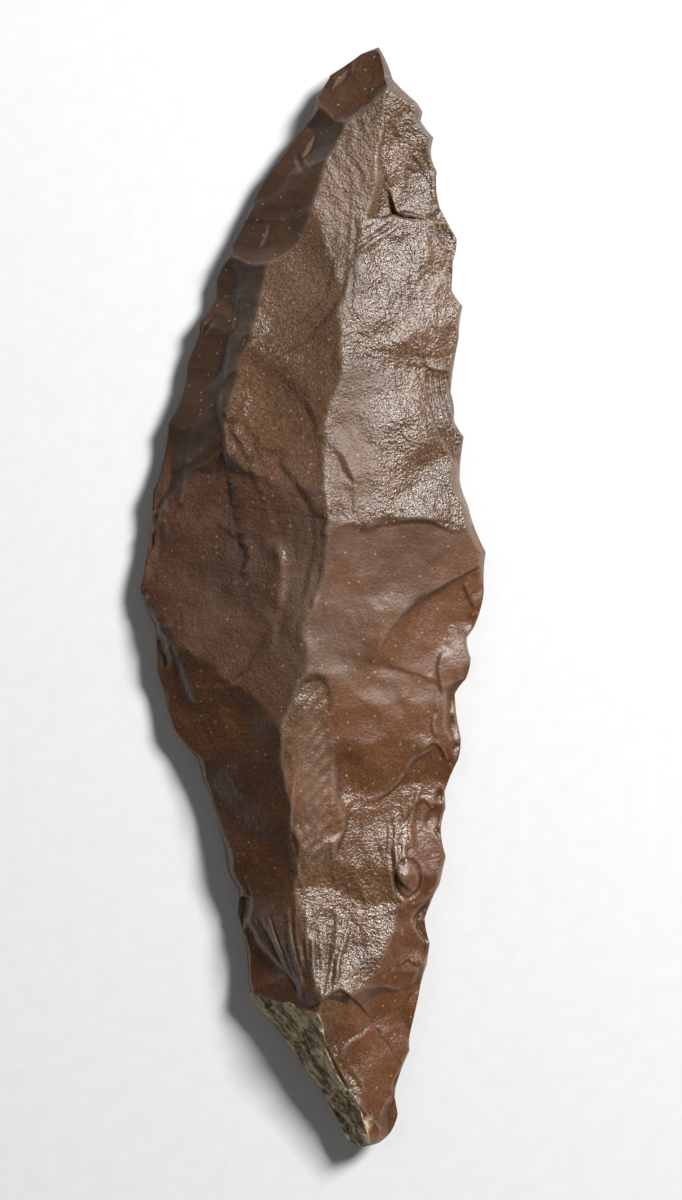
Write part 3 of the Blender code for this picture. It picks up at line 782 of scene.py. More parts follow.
def side_streaks(draw: np.random.Generator) -> Iterator[Line]:
    """The finer streaks on the darker side of the face near the butt.

    Args:
        draw: The random numbers.

    Yields:
        Each streak.
    """
    for k in range(16):
        share = draw.uniform(0, 1)
        foot = (297 + 8 * share, 986 + draw.uniform(-16, 4))
        head = (262 + 30 * share, 906 + draw.uniform(-8, 26))
        middle = ((foot[0] + head[0]) / 2 - draw.uniform(0, 5), (foot[1] + head[1]) / 2)
        relief = Relief.CREST if k % 2 else Relief.GROOVE
        yield Line(relief, 1.4, draw.uniform(0.04, 0.09), (foot, middle, head))


PATCHES = (
    Patch(Mask.CORTEX, (364, 1122), (20, 12), -50, 0.60),
    Patch(Mask.WARM, (440, 640), (40, 80), 0, 0.15),
    Patch(Mask.WARM, (420, 1000), (40, 120), 0, 0.1),
    Patch(Mask.WARM, (330, 780), (60, 60), 0, 0.1),
    Patch(Mask.WARM, (284, 945), (26, 50), -20, 0.4),
    Patch(Mask.GRAIN, (350, 450), (20, 70), 0, -0.6),
    Patch(Mask.GRAIN, (362, 838), (32, 42), 0, 0.4),
    Patch(Mask.GRAIN, (330, 950), (34, 46), 0, 0.3),
    Patch(Mask.MATTE, (350, 450), (28, 80), 0, 1.0),
    Patch(Mask.MATTE, (372, 380), (40, 14), 0, 0.4),
    Patch(Mask.MATTE, (360, 630), (36, 36), 0, -0.25),
    Patch(Mask.MATTE, (281, 446), (22, 14), 0, -0.4),
    Patch(Mask.MATTE, (283, 580), (8, 40), 0, -0.3),
    # Painted sheen where faces near the ridge, on the strip and near the butt catch the light
    Patch(Mask.PALE, (304, 590), (22, 85), 0, 0.42),
    Patch(Mask.PALE, (240, 590), (40, 60), 20, 0.20),
    Patch(Mask.PALE, (313, 780), (18, 95), -4, 0.40),
    Patch(Mask.PALE, (284, 945), (24, 44), -20, 0.60),
    Patch(Mask.PALE, (300, 300), (40, 60), 20, 0.20),
    Patch(Mask.PALE, (340, 645), (16, 40), 0, 0.25),
)


@dataclass
class FlintBlade:
    """The whole stone: its outline, both of its sides and its finish.

    Edge heights and the like are in millimetres, and rows and columns say how finely it is laid out.
    """

    size: Vector
    seed: int = 7
    cutting_edge_mm: float = 2.7
    back_edge_mm: float = 2.5
    tip_mm: float = 3.2
    butt_mm: float = 3.4
    edge_wave_mm: float = 0.30
    edge_wave_length_mm: float = 9.0
    back_wave_shift: float = 0.3
    retouch_pitch_mm: float = 2.6
    retouch_reach_mm: tuple[float, float] = (0.4, 1.1)
    retouched_cutting: tuple[float, float] = (560, 1090)
    retouched_back: tuple[float, float] = (480, 740)
    cutting_warmth: float = 0.8
    back_warmth: float = 0.4
    underside_pitch_mm: float = 8.5
    underside_reach_mm: tuple[float, float] = (4.0, 7.2)
    cutting_bevel: float = 2.2
    back_bevel: float = 2.4
    bevel_power: float = 0.8
    least_slope: float = 0.1
    blunted_slopes: tuple[float, float] = (0.7, 0.2)
    blunted_between: tuple[float, float] = (430, 500)
    ridge_softness_mm: float = 0.04
    tone_softness_mm: float = 0.10
    plain_rim_mm: float = 0.35
    thin_edge_mm: float = 1.6
    # How strongly the painted crest highlight and crease shade follow the surface's bend
    light_and_shade_per_bend: float = 0.22
    rows: int = 660
    upper_columns: int = 136
    lower_columns: int = 14
    nearer_edges: float = 0.25
    cutting_teeth: tuple[tuple[float, float, float], ...] = (
        (379, 48, 0), (393, 80, -1.5), (418, 104, 1), (423, 113, 0), (421, 121, 0), (434, 138, 1),
        (437, 172, 4), (440, 208, 2), (457, 239, 0), (453, 262, -1), (452, 290, 0), (463, 306, 1),
        (459, 338, 1), (451, 392, 1), (454, 420, -1.5), (464, 437, 1), (460, 480, 1), (468, 505, 1),
        (486, 552, 2), (484, 592, 1), (474, 628, -1.5), (467, 638, 0), (471, 658, 1), (466, 679, -1),
        (455, 694, 1), (461, 738, 1), (458, 760, -1), (445, 792, 1), (446, 808, 0), (441, 830, 1),
        (446, 856, 1), (440, 884, 0), (425, 918, 1), (430, 943, 1), (427, 965, 0), (419, 995, 1),
        (411, 1030, 0), (410, 1050, 1), (396, 1086, 1), (395, 1096, 0), (398, 1113, 0), (391, 1131, -1),
        (379, 1142, -1), (362, 1146, -1),
    )
    back_teeth: tuple[tuple[float, float, float], ...] = (
        (379, 48, 0), (361, 55, 0), (331, 76, 1), (317, 98, 1), (311, 118, 1), (296, 138, 1),
        (272, 171, 1.5), (243, 228, -2.5), (217, 279, 0), (217, 298, 0), (201, 322, 1), (200, 336, 0),
        (187, 368, -1), (185, 388, 1), (169, 424, 2), (163, 464, 1), (154, 492, 1), (150, 528, 1),
        (142, 585, 1), (143, 598, -1), (155, 625, -1), (158, 672, 1), (166, 698, 0), (174, 728, -1),
        (198, 758, -1), (204, 780, 0), (218, 818, 1), (228, 870, 1), (239, 890, -1), (238, 912, 1),
        (245, 938, 0), (249, 980, 1), (252, 999, 0), (300, 1060, 2), (332, 1108, 2), (347, 1137, 1),
        (362, 1146, -1),
    )
    right: np.ndarray = field(init=False)
    left: np.ndarray = field(init=False)
    scars: list[Scar] = field(init=False)
    below: list[Scar] = field(init=False)
    lines: list[Ledge | Line] = field(init=False)

    def __post_init__(self) -> None:
        """Draws the outline and lists every scar and line of the surface."""
        draw = np.random.default_rng(self.seed)
        self.right = self.curved(self.cutting_teeth, -1)
        self.left = self.curved(self.back_teeth, 1)
        self.scars = [*STEEP_BACK, *TIP_AND_UPPER_FACE, *CUTTING_SIDE, *LOWER_FACE, *BACK_SIDE]
        self.scars += self.retouch(
            self.cutting_teeth, self.retouched_cutting, -1, self.cutting_edge_mm, self.cutting_warmth, draw
        )
        self.scars += self.retouch(
            self.back_teeth, self.retouched_back, 1, self.back_edge_mm, self.back_warmth, draw
        )
        self.below = self.underside(self.right, -1, self.cutting_edge_mm, draw)
        self.below += self.underside(self.left, 1, self.back_edge_mm, draw)
        self.lines = [*LEDGES, *LINES, *edge_grooves(), *strip_ripples()]
        self.lines += [*fan_streaks(draw), *side_streaks(draw)]

    @staticmethod
    def curved(teeth: tuple[tuple[float, float, float], ...], inward: float, steps: int = 6) -> np.ndarray:
        """The outline through the teeth, each stretch bent inward by its own hollow.

        Args:
            teeth: Each tooth's place and the hollow of the stretch before it.
            inward: The sign of x towards the stone.
            steps: How many points each stretch gets.

        Returns:
            The outline's points, from tip to butt.
        """
        points = [np.array(teeth[0][:2], float)]
        for (x0, y0, _), (x1, y1, hollow) in zip(teeth, teeth[1:]):
            start, end = np.array((x0, y0), float), np.array((x1, y1), float)
            handle = (start + end) / 2 + np.array((2 * inward * hollow, 0.0))
            for step in range(1, steps + 1):
                t = step / steps
                points.append((1 - t) ** 2 * start + 2 * t * (1 - t) * handle + t**2 * end)
        return np.array(points)

    @staticmethod
    def along_edge(
        line: np.ndarray, inward: float, pitch: float
    ) -> Iterator[tuple[np.ndarray, np.ndarray, float]]:
        """Places along an edge at about this pitch.

        Args:
            line: The edge's points.
            inward: The sign of x towards the stone.
            pitch: The distance between places, in pixels.

        Yields:
            Each place, the direction into the stone and the length of its stretch.
        """
        for start, end in zip(line, line[1:]):
            span = math.hypot(*(end - start))
            count = max(1, round(span / pitch))
            into = np.array((start[1] - end[1], end[0] - start[0])) / span
            into *= np.sign(into[0] * inward)
            for k in range(count):
                yield start + (end - start) * (k + 0.5) / count, into, span / count

    def retouch(
        self, teeth: tuple[tuple[float, float, float], ...], between: tuple[float, float], inward: float,
        edge_mm: float, warm: float, draw: np.random.Generator,
    ) -> list[Scar]:
        """The row of small scars that was pressed off an edge, one or more to a tooth.

        Args:
            teeth: The edge's teeth.
            between: The first and last y of the stretch that is retouched.
            inward: The sign of x towards the stone.
            edge_mm: The edge's height.
            warm: How orange the scars are.
            draw: The random numbers.

        Returns:
            The scars.
        """
        made = []
        line = np.array([tooth[:2] for tooth in teeth if between[0] < tooth[1] < between[1]], float)
        for place, into, pitch in self.along_edge(line, inward, self.retouch_pitch_mm * PIXELS_PER_MM):
            reach = draw.uniform(*self.retouch_reach_mm) * PIXELS_PER_MM
            steepness = draw.uniform(0.5, 1.0)
            high = edge_mm + reach * DRAWING.mm_per_pixel * steepness
            ends = tuple(place + reach * into)
            made.append(
                Scar("retouch", tuple(place), ends, 0.62 * pitch, edge_mm, high, 0.12, 0.45,
                     warm=warm, matte=0.5)
            )
        return made

    def underside(
        self, line: np.ndarray, inward: float, edge_mm: float, draw: np.random.Generator
    ) -> list[Scar]:
        """The underside's broad shallow scars, worked out as depths below the edge.

        Args:
            line: The edge's points.
            inward: The sign of x towards the stone.
            edge_mm: The edge's height.
            draw: The random numbers.

        Returns:
            The scars.
        """
        run = np.concatenate([[0], np.cumsum(np.hypot(*np.diff(line, axis=0).T))])
        wanted = self.underside_pitch_mm * PIXELS_PER_MM
        places = np.linspace(0, run[-1], round(run[-1] / wanted) + 1)
        even = np.stack([np.interp(places, run, line[:, axis]) for axis in (0, 1)], axis=-1)
        made = []
        for place, into, pitch in self.along_edge(even, inward, wanted):
            reach = draw.uniform(*self.underside_reach_mm) * PIXELS_PER_MM
            ends = tuple(place + reach * into)
            made.append(Scar("underside", tuple(place), ends, 0.75 * pitch, -edge_mm, 0.0, 0.15, 0.35))
        return made

    def edge_heights(self, y: np.ndarray, height: float, shift: float) -> np.ndarray:
        """The height of an edge down the blade, slightly wavy and meeting the tip and the butt.

        Args:
            y: Pixels down.
            height: The edge's mean height.
            shift: Where its waves start, as a share of one.

        Returns:
            The edge's height at each place.
        """
        wave_length = self.edge_wave_length_mm * PIXELS_PER_MM
        level = height + self.edge_wave_mm * np.sin(2 * np.pi * (y / wave_length + shift))
        near_tip = np.clip(1 - (y - DRAWING.top) / (3 * wave_length), 0, 1) ** 2
        near_butt = np.clip(1 - (DRAWING.bottom - y) / (3 * wave_length), 0, 1) ** 2
        level = level + (self.tip_mm - level) * near_tip
        return level + (self.butt_mm - level) * near_butt

    def layout(self, columns: int) -> tuple[np.ndarray, np.ndarray, np.ndarray]:
        """Where every row and column lies.

        Args:
            columns: How many columns there are.

        Returns:
            Drawn x, y and edge height.
        """
        y = np.linspace(DRAWING.top, DRAWING.bottom, self.rows + 1)[:, None]
        right = np.interp(y, self.right[:, 1], self.right[:, 0])
        left = np.interp(y, self.left[:, 1], self.left[:, 0])
        share = np.linspace(0, 1, columns + 1)[None, :]
        share = share - self.nearer_edges * np.sin(2 * np.pi * share) / (2 * np.pi)
        edge = self.edge_heights(y, self.back_edge_mm, self.back_wave_shift) * (1 - share)
        edge = edge + self.edge_heights(y, self.cutting_edge_mm, 0.0) * share
        return left + (right - left) * share, y + 0 * share, edge

    def upper(self) -> tuple[np.ndarray, np.ndarray, np.ndarray, dict[Mask, np.ndarray]]:
        """The upper side.

        Returns:
            Drawn x, y and height, and the masks at the same places.
        """
        x, y, edge = self.layout(self.upper_columns)
        strayed_x, strayed_y = strayed(x, y)
        heights = np.array([scar.height(strayed_x, strayed_y) for scar in self.scars])
        floor = heights.min(0)
        nearness = np.exp((floor - heights) / self.ridge_softness_mm).sum(0)
        height = floor - self.ridge_softness_mm * np.log(nearness)
        weights = np.exp((floor - heights) / self.tone_softness_mm)
        weights /= weights.sum(0)
        from_right = distance_to(x, y, self.right) * DRAWING.mm_per_pixel
        from_left = distance_to(x, y, self.left) * DRAWING.mm_per_pixel
        right_bevel = self.cutting_bevel * from_right**self.bevel_power
        left_bevel = self.back_bevel * from_left**self.bevel_power
        height = np.minimum(height, edge + np.minimum(right_bevel, left_bevel))
        blunted = np.interp(y, self.blunted_between, self.blunted_slopes)
        height = np.maximum(height, edge + np.minimum(self.least_slope * from_right, blunted * from_left))
        height = height * DRAWING.thickness / height.max()
        inside = np.clip(np.minimum(from_right, from_left) / self.plain_rim_mm, 0, 1)
        masks = self.masks(x, y, weights, from_right)
        height = height + inside * self.fine_relief(x, y, weights, masks)
        # Above one half: painted highlight on crests; below one half: painted shade in creases
        masks[Mask.WEAR] = np.clip(0.5 + self.light_and_shade_per_bend * inside * self.bulge(x, y, height), 0, 1)
        return x, y, height, masks

    @staticmethod
    def bulge(x: np.ndarray, y: np.ndarray, height: np.ndarray) -> np.ndarray:
        """How strongly the surface bends at each place.

        Args:
            x: Pixels across.
            y: Pixels down.
            height: The surface's heights.

        Returns:
            The bend, above 0 on crests and below 0 in creases.
        """
        across = np.maximum(np.gradient(x, axis=1) * DRAWING.mm_per_pixel, 0.02)
        down = np.gradient(y, axis=0) * DRAWING.mm_per_pixel
        bend = np.gradient(np.gradient(height, axis=1) / across, axis=1) / across
        return -(bend + np.gradient(np.gradient(height, axis=0) / down, axis=0) / down)

    def fine_relief(
        self, x: np.ndarray, y: np.ndarray, weights: np.ndarray, masks: dict[Mask, np.ndarray]
    ) -> np.ndarray:
        """The ripples, lines, mounds and roughness that lie on the scars, as heights.

        Args:
            x: Pixels across.
            y: Pixels down.
            weights: How much each scar owns each place.
            masks: The stone's masks.

        Returns:
            The heights to add.
        """
        added = np.zeros(x.shape)
        for scar, weight in zip(self.scars, weights):
            if weight.max() > 0.05:
                added += weight * scar.ripples(x, y)
        for mark in (*self.lines, *MOUNDS, *FLUTINGS):
            added += mark.height(x, y)
        added += rumples(x, y, SWELLS, 2) * (0.3 + 0.7 * masks[Mask.GRAIN])
        crust = 0.12 * rumple(x, y, 15.0, 5) + 0.10 * np.abs(rumple(x, y, 8.0, 6))
        crust += 0.05 * rumple(x, y, 5.0, 8)
        return added + masks[Mask.CORTEX] * crust

    def masks(
        self, x: np.ndarray, y: np.ndarray, weights: np.ndarray, from_right: np.ndarray
    ) -> dict[Mask, np.ndarray]:
        """The values that the finish reads, from 0 to 1.

        Args:
            x: Pixels across.
            y: Pixels down.
            weights: How much each scar owns each place.
            from_right: Millimetres from the cutting edge.

        Returns:
            One set of values for each mask.
        """
        made = {
            Mask.CORTEX: sum(w for s, w in zip(self.scars, weights) if s.name in CORTEX_SCARS),
            Mask.THIN: np.exp(-from_right / self.thin_edge_mm),
            Mask.PALE: np.zeros_like(from_right),
        }
        for mask in (Mask.WARM, Mask.MATTE, Mask.GRAIN, Mask.DARK):
            made[mask] = sum(w * getattr(s, mask.value) for s, w in zip(self.scars, weights))
        for patch in PATCHES:
            made[patch.mask] = made[patch.mask] + patch.added(x, y)
        return {mask: np.clip(values, 0, 1) for mask, values in made.items()}

    def lower(self) -> tuple[np.ndarray, np.ndarray, np.ndarray]:
        """The underside, which is flat where no scar reaches.

        Returns:
            Drawn x, y and height.
        """
        x, y, edge = self.layout(self.lower_columns)
        from_edge = np.minimum(distance_to(x, y, self.right), distance_to(x, y, self.left))
        from_edge = from_edge * DRAWING.mm_per_pixel
        heights = np.array([scar.height(x, y) for scar in self.below])
        height = np.clip(-heights.min(0), 0, None)
        return x, y, np.minimum(height, edge * np.clip(1 - 0.12 * from_edge, 0, 1))

    def mesh(self) -> bpy.types.Mesh:
        """The closed mesh of the stone, its two sides sharing the points of both edges.

        Returns:
            The mesh, with a value for each mask on its points.
        """
        x, y, height, masks = self.upper()
        upper = DRAWING.placed(x, y, height, self.size)
        lower = DRAWING.placed(*self.lower(), self.size)
        width, below = self.upper_columns + 1, self.lower_columns - 1
        rows = self.rows - 1
        ends = [upper[0, :1], upper[-1, :1]]
        points = [*ends, upper[1:-1].reshape(-1, 3), lower[1:-1, 1:-1].reshape(-1, 3)]
        top = 2 + np.arange(rows * width).reshape(rows, width)
        inner = 2 + rows * width + np.arange(rows * below).reshape(rows, below)
        bottom = np.hstack([top[:, :1], inner, top[:, -1:]])
        faces: list[tuple[int, ...]] = []
        for grid, upward in ((top, True), (bottom, False)):
            quads = np.stack([grid[1:, :-1], grid[1:, 1:], grid[:-1, 1:], grid[:-1, :-1]], axis=-1)
            faces += [tuple(quad if upward else quad[::-1]) for quad in quads.reshape(-1, 4).tolist()]
            for tip, row, order in ((0, grid[0], 1), (1, grid[-1], -1)):
                pairs = list(zip(row.tolist(), row[1:].tolist()))
                turned = order if upward else -order
                faces += [(a, b, tip) if turned > 0 else (b, a, tip) for a, b in pairs]
        mesh = bpy.data.meshes.new("flint_stone")
        mesh.from_pydata(np.concatenate(points).tolist(), [], faces)
        mesh.shade_smooth()
        for mask, values in masks.items():
            stored = np.full(len(mesh.vertices), PLAIN_VALUES.get(mask, 0.0))
            stored[:2] = (values[0, 0], values[-1, 0])
            stored[2 : 2 + rows * width] = values[1:-1].reshape(-1)
            layer = mesh.attributes.new(mask.value, "FLOAT", "POINT")
            layer.data.foreach_set("value", stored.astype(np.float32))
        return mesh

    def build(self) -> bpy.types.Object:
        """The stone as a piece that stands for the solid.

        Returns:
            The piece.
        """
        piece = bpy.data.objects.new("flint_stone", self.mesh())
        bpy.context.scene.collection.objects.link(piece)
        piece.data.materials.append(FlintFinish().material())
        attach(piece, "root")
        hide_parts("flint_blade")
        return piece


Colour = tuple[float, float, float]
Value = float | Colour | bpy.types.NodeSocket


class Wiring:
    """A node tree, with short ways to add nodes and links to it."""

    def __init__(self, tree: bpy.types.NodeTree) -> None:
        """Starts with an existing tree."""
        self.tree = tree

    def plug(self, socket: bpy.types.NodeSocket, value: Value) -> None:
        """Links a socket to another, or sets its own value.

        Args:
            socket: The input socket.
            value: Another node's output, a number or a colour.
        """
        if isinstance(value, bpy.types.NodeSocket):
            self.tree.links.new(value, socket)
        elif isinstance(value, tuple) and socket.type == "RGBA":
            socket.default_value = (*value, 1.0)
        else:
            socket.default_value = value

    def node(
        self, kind: str, values: dict[str | int, Value] | None = None, **settings: object
    ) -> bpy.types.Node:
        """Adds a node.

        Args:
            kind: The node's type.
            values: What each input gets, by its name or its number.
            settings: The node's own settings.

        Returns:
            The node.
        """
        made = self.tree.nodes.new(kind)
        for name, setting in settings.items():
            setattr(made, name, setting)
        for name, value in (values or {}).items():
            self.plug(made.inputs[name], value)
        return made

    def math(self, operation: str, *values: Value) -> bpy.types.NodeSocket:
        """The result of a Math node."""
        made = self.node("ShaderNodeMath", dict(enumerate(values)), operation=operation)
        return made.outputs[0]

    def ranged(
        self, value: Value, low: float, high: float, to_low: float = 0.0, to_high: float = 1.0
    ) -> bpy.types.NodeSocket:
        """A value brought smoothly from one range to another.

        Args:
            value: The value.
            low: Where the first range starts.
            high: Where the first range ends.
            to_low: What the start becomes.
            to_high: What the end becomes.

        Returns:
            The new value.
        """
        inputs = {0: value, 1: low, 2: high, 3: to_low, 4: to_high}
        return self.node("ShaderNodeMapRange", inputs, interpolation_type="SMOOTHSTEP").outputs[0]

    def blended(
        self, share: Value, first: Value, second: Value, blend: str = "MIX"
    ) -> bpy.types.NodeSocket:
        """Two colours mixed.

        Args:
            share: How much of the second.
            first: The first colour.
            second: The second colour.
            blend: How they are mixed.

        Returns:
            The mixed colour.
        """
        made = self.node("ShaderNodeMix", data_type="RGBA", blend_type=blend, clamp_factor=True)
        self.plug(made.inputs[0], share)
        self.plug(made.inputs[6], first)
        self.plug(made.inputs[7], second)
        return made.outputs[2]

    def noise(
        self, place: Value, size: float, detail: float = 3.0, rough: float = 0.5
    ) -> bpy.types.NodeSocket:
        """Noise whose blots are about this many metres across."""
        inputs = {"Vector": place, "Scale": 1 / size, "Detail": detail, "Roughness": rough}
        return self.node("ShaderNodeTexNoise", inputs).outputs[0]

    def group(self, tree: bpy.types.NodeTree, values: dict[str, Value]) -> bpy.types.Node:
        """Places a node group with its own values.

        Args:
            tree: The node group.
            values: What each of its inputs gets.

        Returns:
            The group's node.
        """
        made = self.node("ShaderNodeGroup", node_tree=tree)
        for name, value in values.items():
            self.plug(made.inputs[name], value)
        return made


class Effect:
    """A shader node group that is built once and used by its name."""

    def __init__(self, name: str, inputs: dict[str, str], outputs: dict[str, str]) -> None:
        """Makes the empty group.

        Args:
            name: The group's name.
            inputs: Each input's socket type.
            outputs: Each output's socket type.
        """
        self.tree = bpy.data.node_groups.new(name, "ShaderNodeTree")
        for socket, kind in inputs.items():
            self.tree.interface.new_socket(name=socket, in_out="INPUT", socket_type=kind)
        for socket, kind in outputs.items():
            self.tree.interface.new_socket(name=socket, in_out="OUTPUT", socket_type=kind)
        self.wiring = Wiring(self.tree)
        self.given = self.wiring.node("NodeGroupInput").outputs
        self.results = self.wiring.node("NodeGroupOutput").inputs

    def put_out(self, values: dict[str, Value]) -> bpy.types.NodeTree:
        """Links the group's outputs.

        Args:
            values: What each output gets.

        Returns:
            The finished group.
        """
        for name, value in values.items():
            self.wiring.plug(self.results[name], value)
        return self.tree


FLOAT, VECTOR, COLOUR = "NodeSocketFloat", "NodeSocketVector", "NodeSocketColor"


def scattered_dots(wiring: Wiring, place: Value, spacing: float, left_out: float) -> bpy.types.NodeSocket:
    """Small round dots here and there.

    Args:
        wiring: The tree that gets the dots.
        place: Where the surface is.
        spacing: The size of the cells that hold a dot each, in metres.
        left_out: The share of the cells that stay empty.

    Returns:
        1 in a dot and 0 elsewhere.
    """
    inputs = {"Vector": place, "Scale": 1 / spacing}
    cells = wiring.node("ShaderNodeTexVoronoi", inputs, feature="F1").outputs
    dots = wiring.ranged(cells["Distance"], 0.08, 0.18, 1.0, 0.0)
    chosen = wiring.node("ShaderNodeSeparateColor", {0: cells["Color"]}).outputs[0]
    return wiring.math("MULTIPLY", dots, wiring.ranged(chosen, left_out, left_out + 0.06))


def cloudy_stone() -> bpy.types.NodeTree:
    """The node group for the clouds and specks inside a fine-grained stone.

    Returns:
        The group, with outputs Clouds, Specks, Pits and Flecks from 0 to 1.
    """
    outputs = {"Clouds": FLOAT, "Specks": FLOAT, "Pits": FLOAT, "Flecks": FLOAT}
    effect = Effect("cloudy_stone", {"Place": VECTOR}, outputs)
    wiring, place = effect.wiring, effect.given["Place"]
    clouds = wiring.ranged(wiring.noise(place, 0.009, 4.0, 0.55), 0.32, 0.68)
    specks = wiring.ranged(wiring.noise(place, 0.0003, 2.0, 0.6), 0.35, 0.7)
    pits = scattered_dots(wiring, place, 0.0006, 0.75)
    flecks = scattered_dots(wiring, place, 0.0010, 0.35)
    return effect.put_out({"Clouds": clouds, "Specks": specks, "Pits": pits, "Flecks": flecks})


def stone_grain() -> bpy.types.NodeTree:
    """The node group for a stone's fine surface grain.

    Returns:
        The group, whose Height goes from 0 in a pit to 1 on a grain.
    """
    inputs = {"Place": VECTOR, "Pits": FLOAT, "Grain Size": FLOAT, "Strength": FLOAT}
    effect = Effect("stone_grain", inputs, {"Height": FLOAT})
    wiring, place = effect.wiring, effect.given["Place"]
    scaled = wiring.node("ShaderNodeVectorMath", operation="SCALE")
    wiring.plug(scaled.inputs[0], place)
    wiring.plug(scaled.inputs["Scale"], wiring.math("DIVIDE", 1.0, effect.given["Grain Size"]))
    fine = wiring.noise(scaled.outputs[0], 1.0, 2.0, 0.6)
    coarse = wiring.noise(scaled.outputs[0], 2.2, 2.0, 0.5)
    lumps = wiring.noise(scaled.outputs[0], 6.5, 2.0, 0.5)
    grain = wiring.math("ADD", wiring.math("MULTIPLY", fine, 0.25), wiring.math("MULTIPLY", coarse, 1.1))
    grain = wiring.math("ADD", grain, wiring.math("MULTIPLY", lumps, 1.1))
    height = wiring.math("SUBTRACT", grain, wiring.math("MULTIPLY", effect.given["Pits"], 0.9))
    strength = wiring.ranged(effect.given["Strength"], 0.0, 1.0, 0.3, 1.0)
    return effect.put_out({"Height": wiring.math("MULTIPLY", height, strength)})


@dataclass(frozen=True)
class Rind:
    """Cortex, the rough rind of a flint nodule, drawn out along one direction."""

    dull: Colour = (0.17, 0.115, 0.06)
    earthy: Colour = (0.62, 0.50, 0.31)
    chalky: Colour = (0.84, 0.74, 0.54)
    hollows: Colour = (0.07, 0.046, 0.027)
    crumb_size: float = 0.0003
    blot_size: float = 0.0011
    heading: float = math.radians(-42.5)
    drawn_out: float = 2.2

    def effect(self) -> bpy.types.NodeTree:
        """The rind's node group.

        Returns:
            The group, with the rind's Color and Height.
        """
        effect = Effect("rind", {"Place": VECTOR}, {"Color": COLOUR, "Height": FLOAT})
        wiring = effect.wiring
        turned = {
            "Vector": effect.given["Place"],
            "Rotation": (0.0, 0.0, self.heading),
            "Scale": (self.drawn_out, 1.0, 1.0),
        }
        along = wiring.node("ShaderNodeMapping", turned, vector_type="TEXTURE").outputs[0]
        crumbs = wiring.noise(along, self.crumb_size, 4.0, 0.7)
        blots = wiring.noise(along, self.blot_size, 3.0, 0.6)
        earth = wiring.blended(wiring.ranged(blots, 0.40, 0.60), self.dull, self.earthy)
        pale = wiring.blended(wiring.ranged(crumbs, 0.55, 0.66, 0.0, 0.8), earth, self.chalky)
        dark = wiring.blended(wiring.ranged(crumbs, 0.45, 0.36, 0.0, 0.85), pale, self.hollows)
        return effect.put_out({"Color": dark, "Height": wiring.math("ADD", crumbs, blots)})


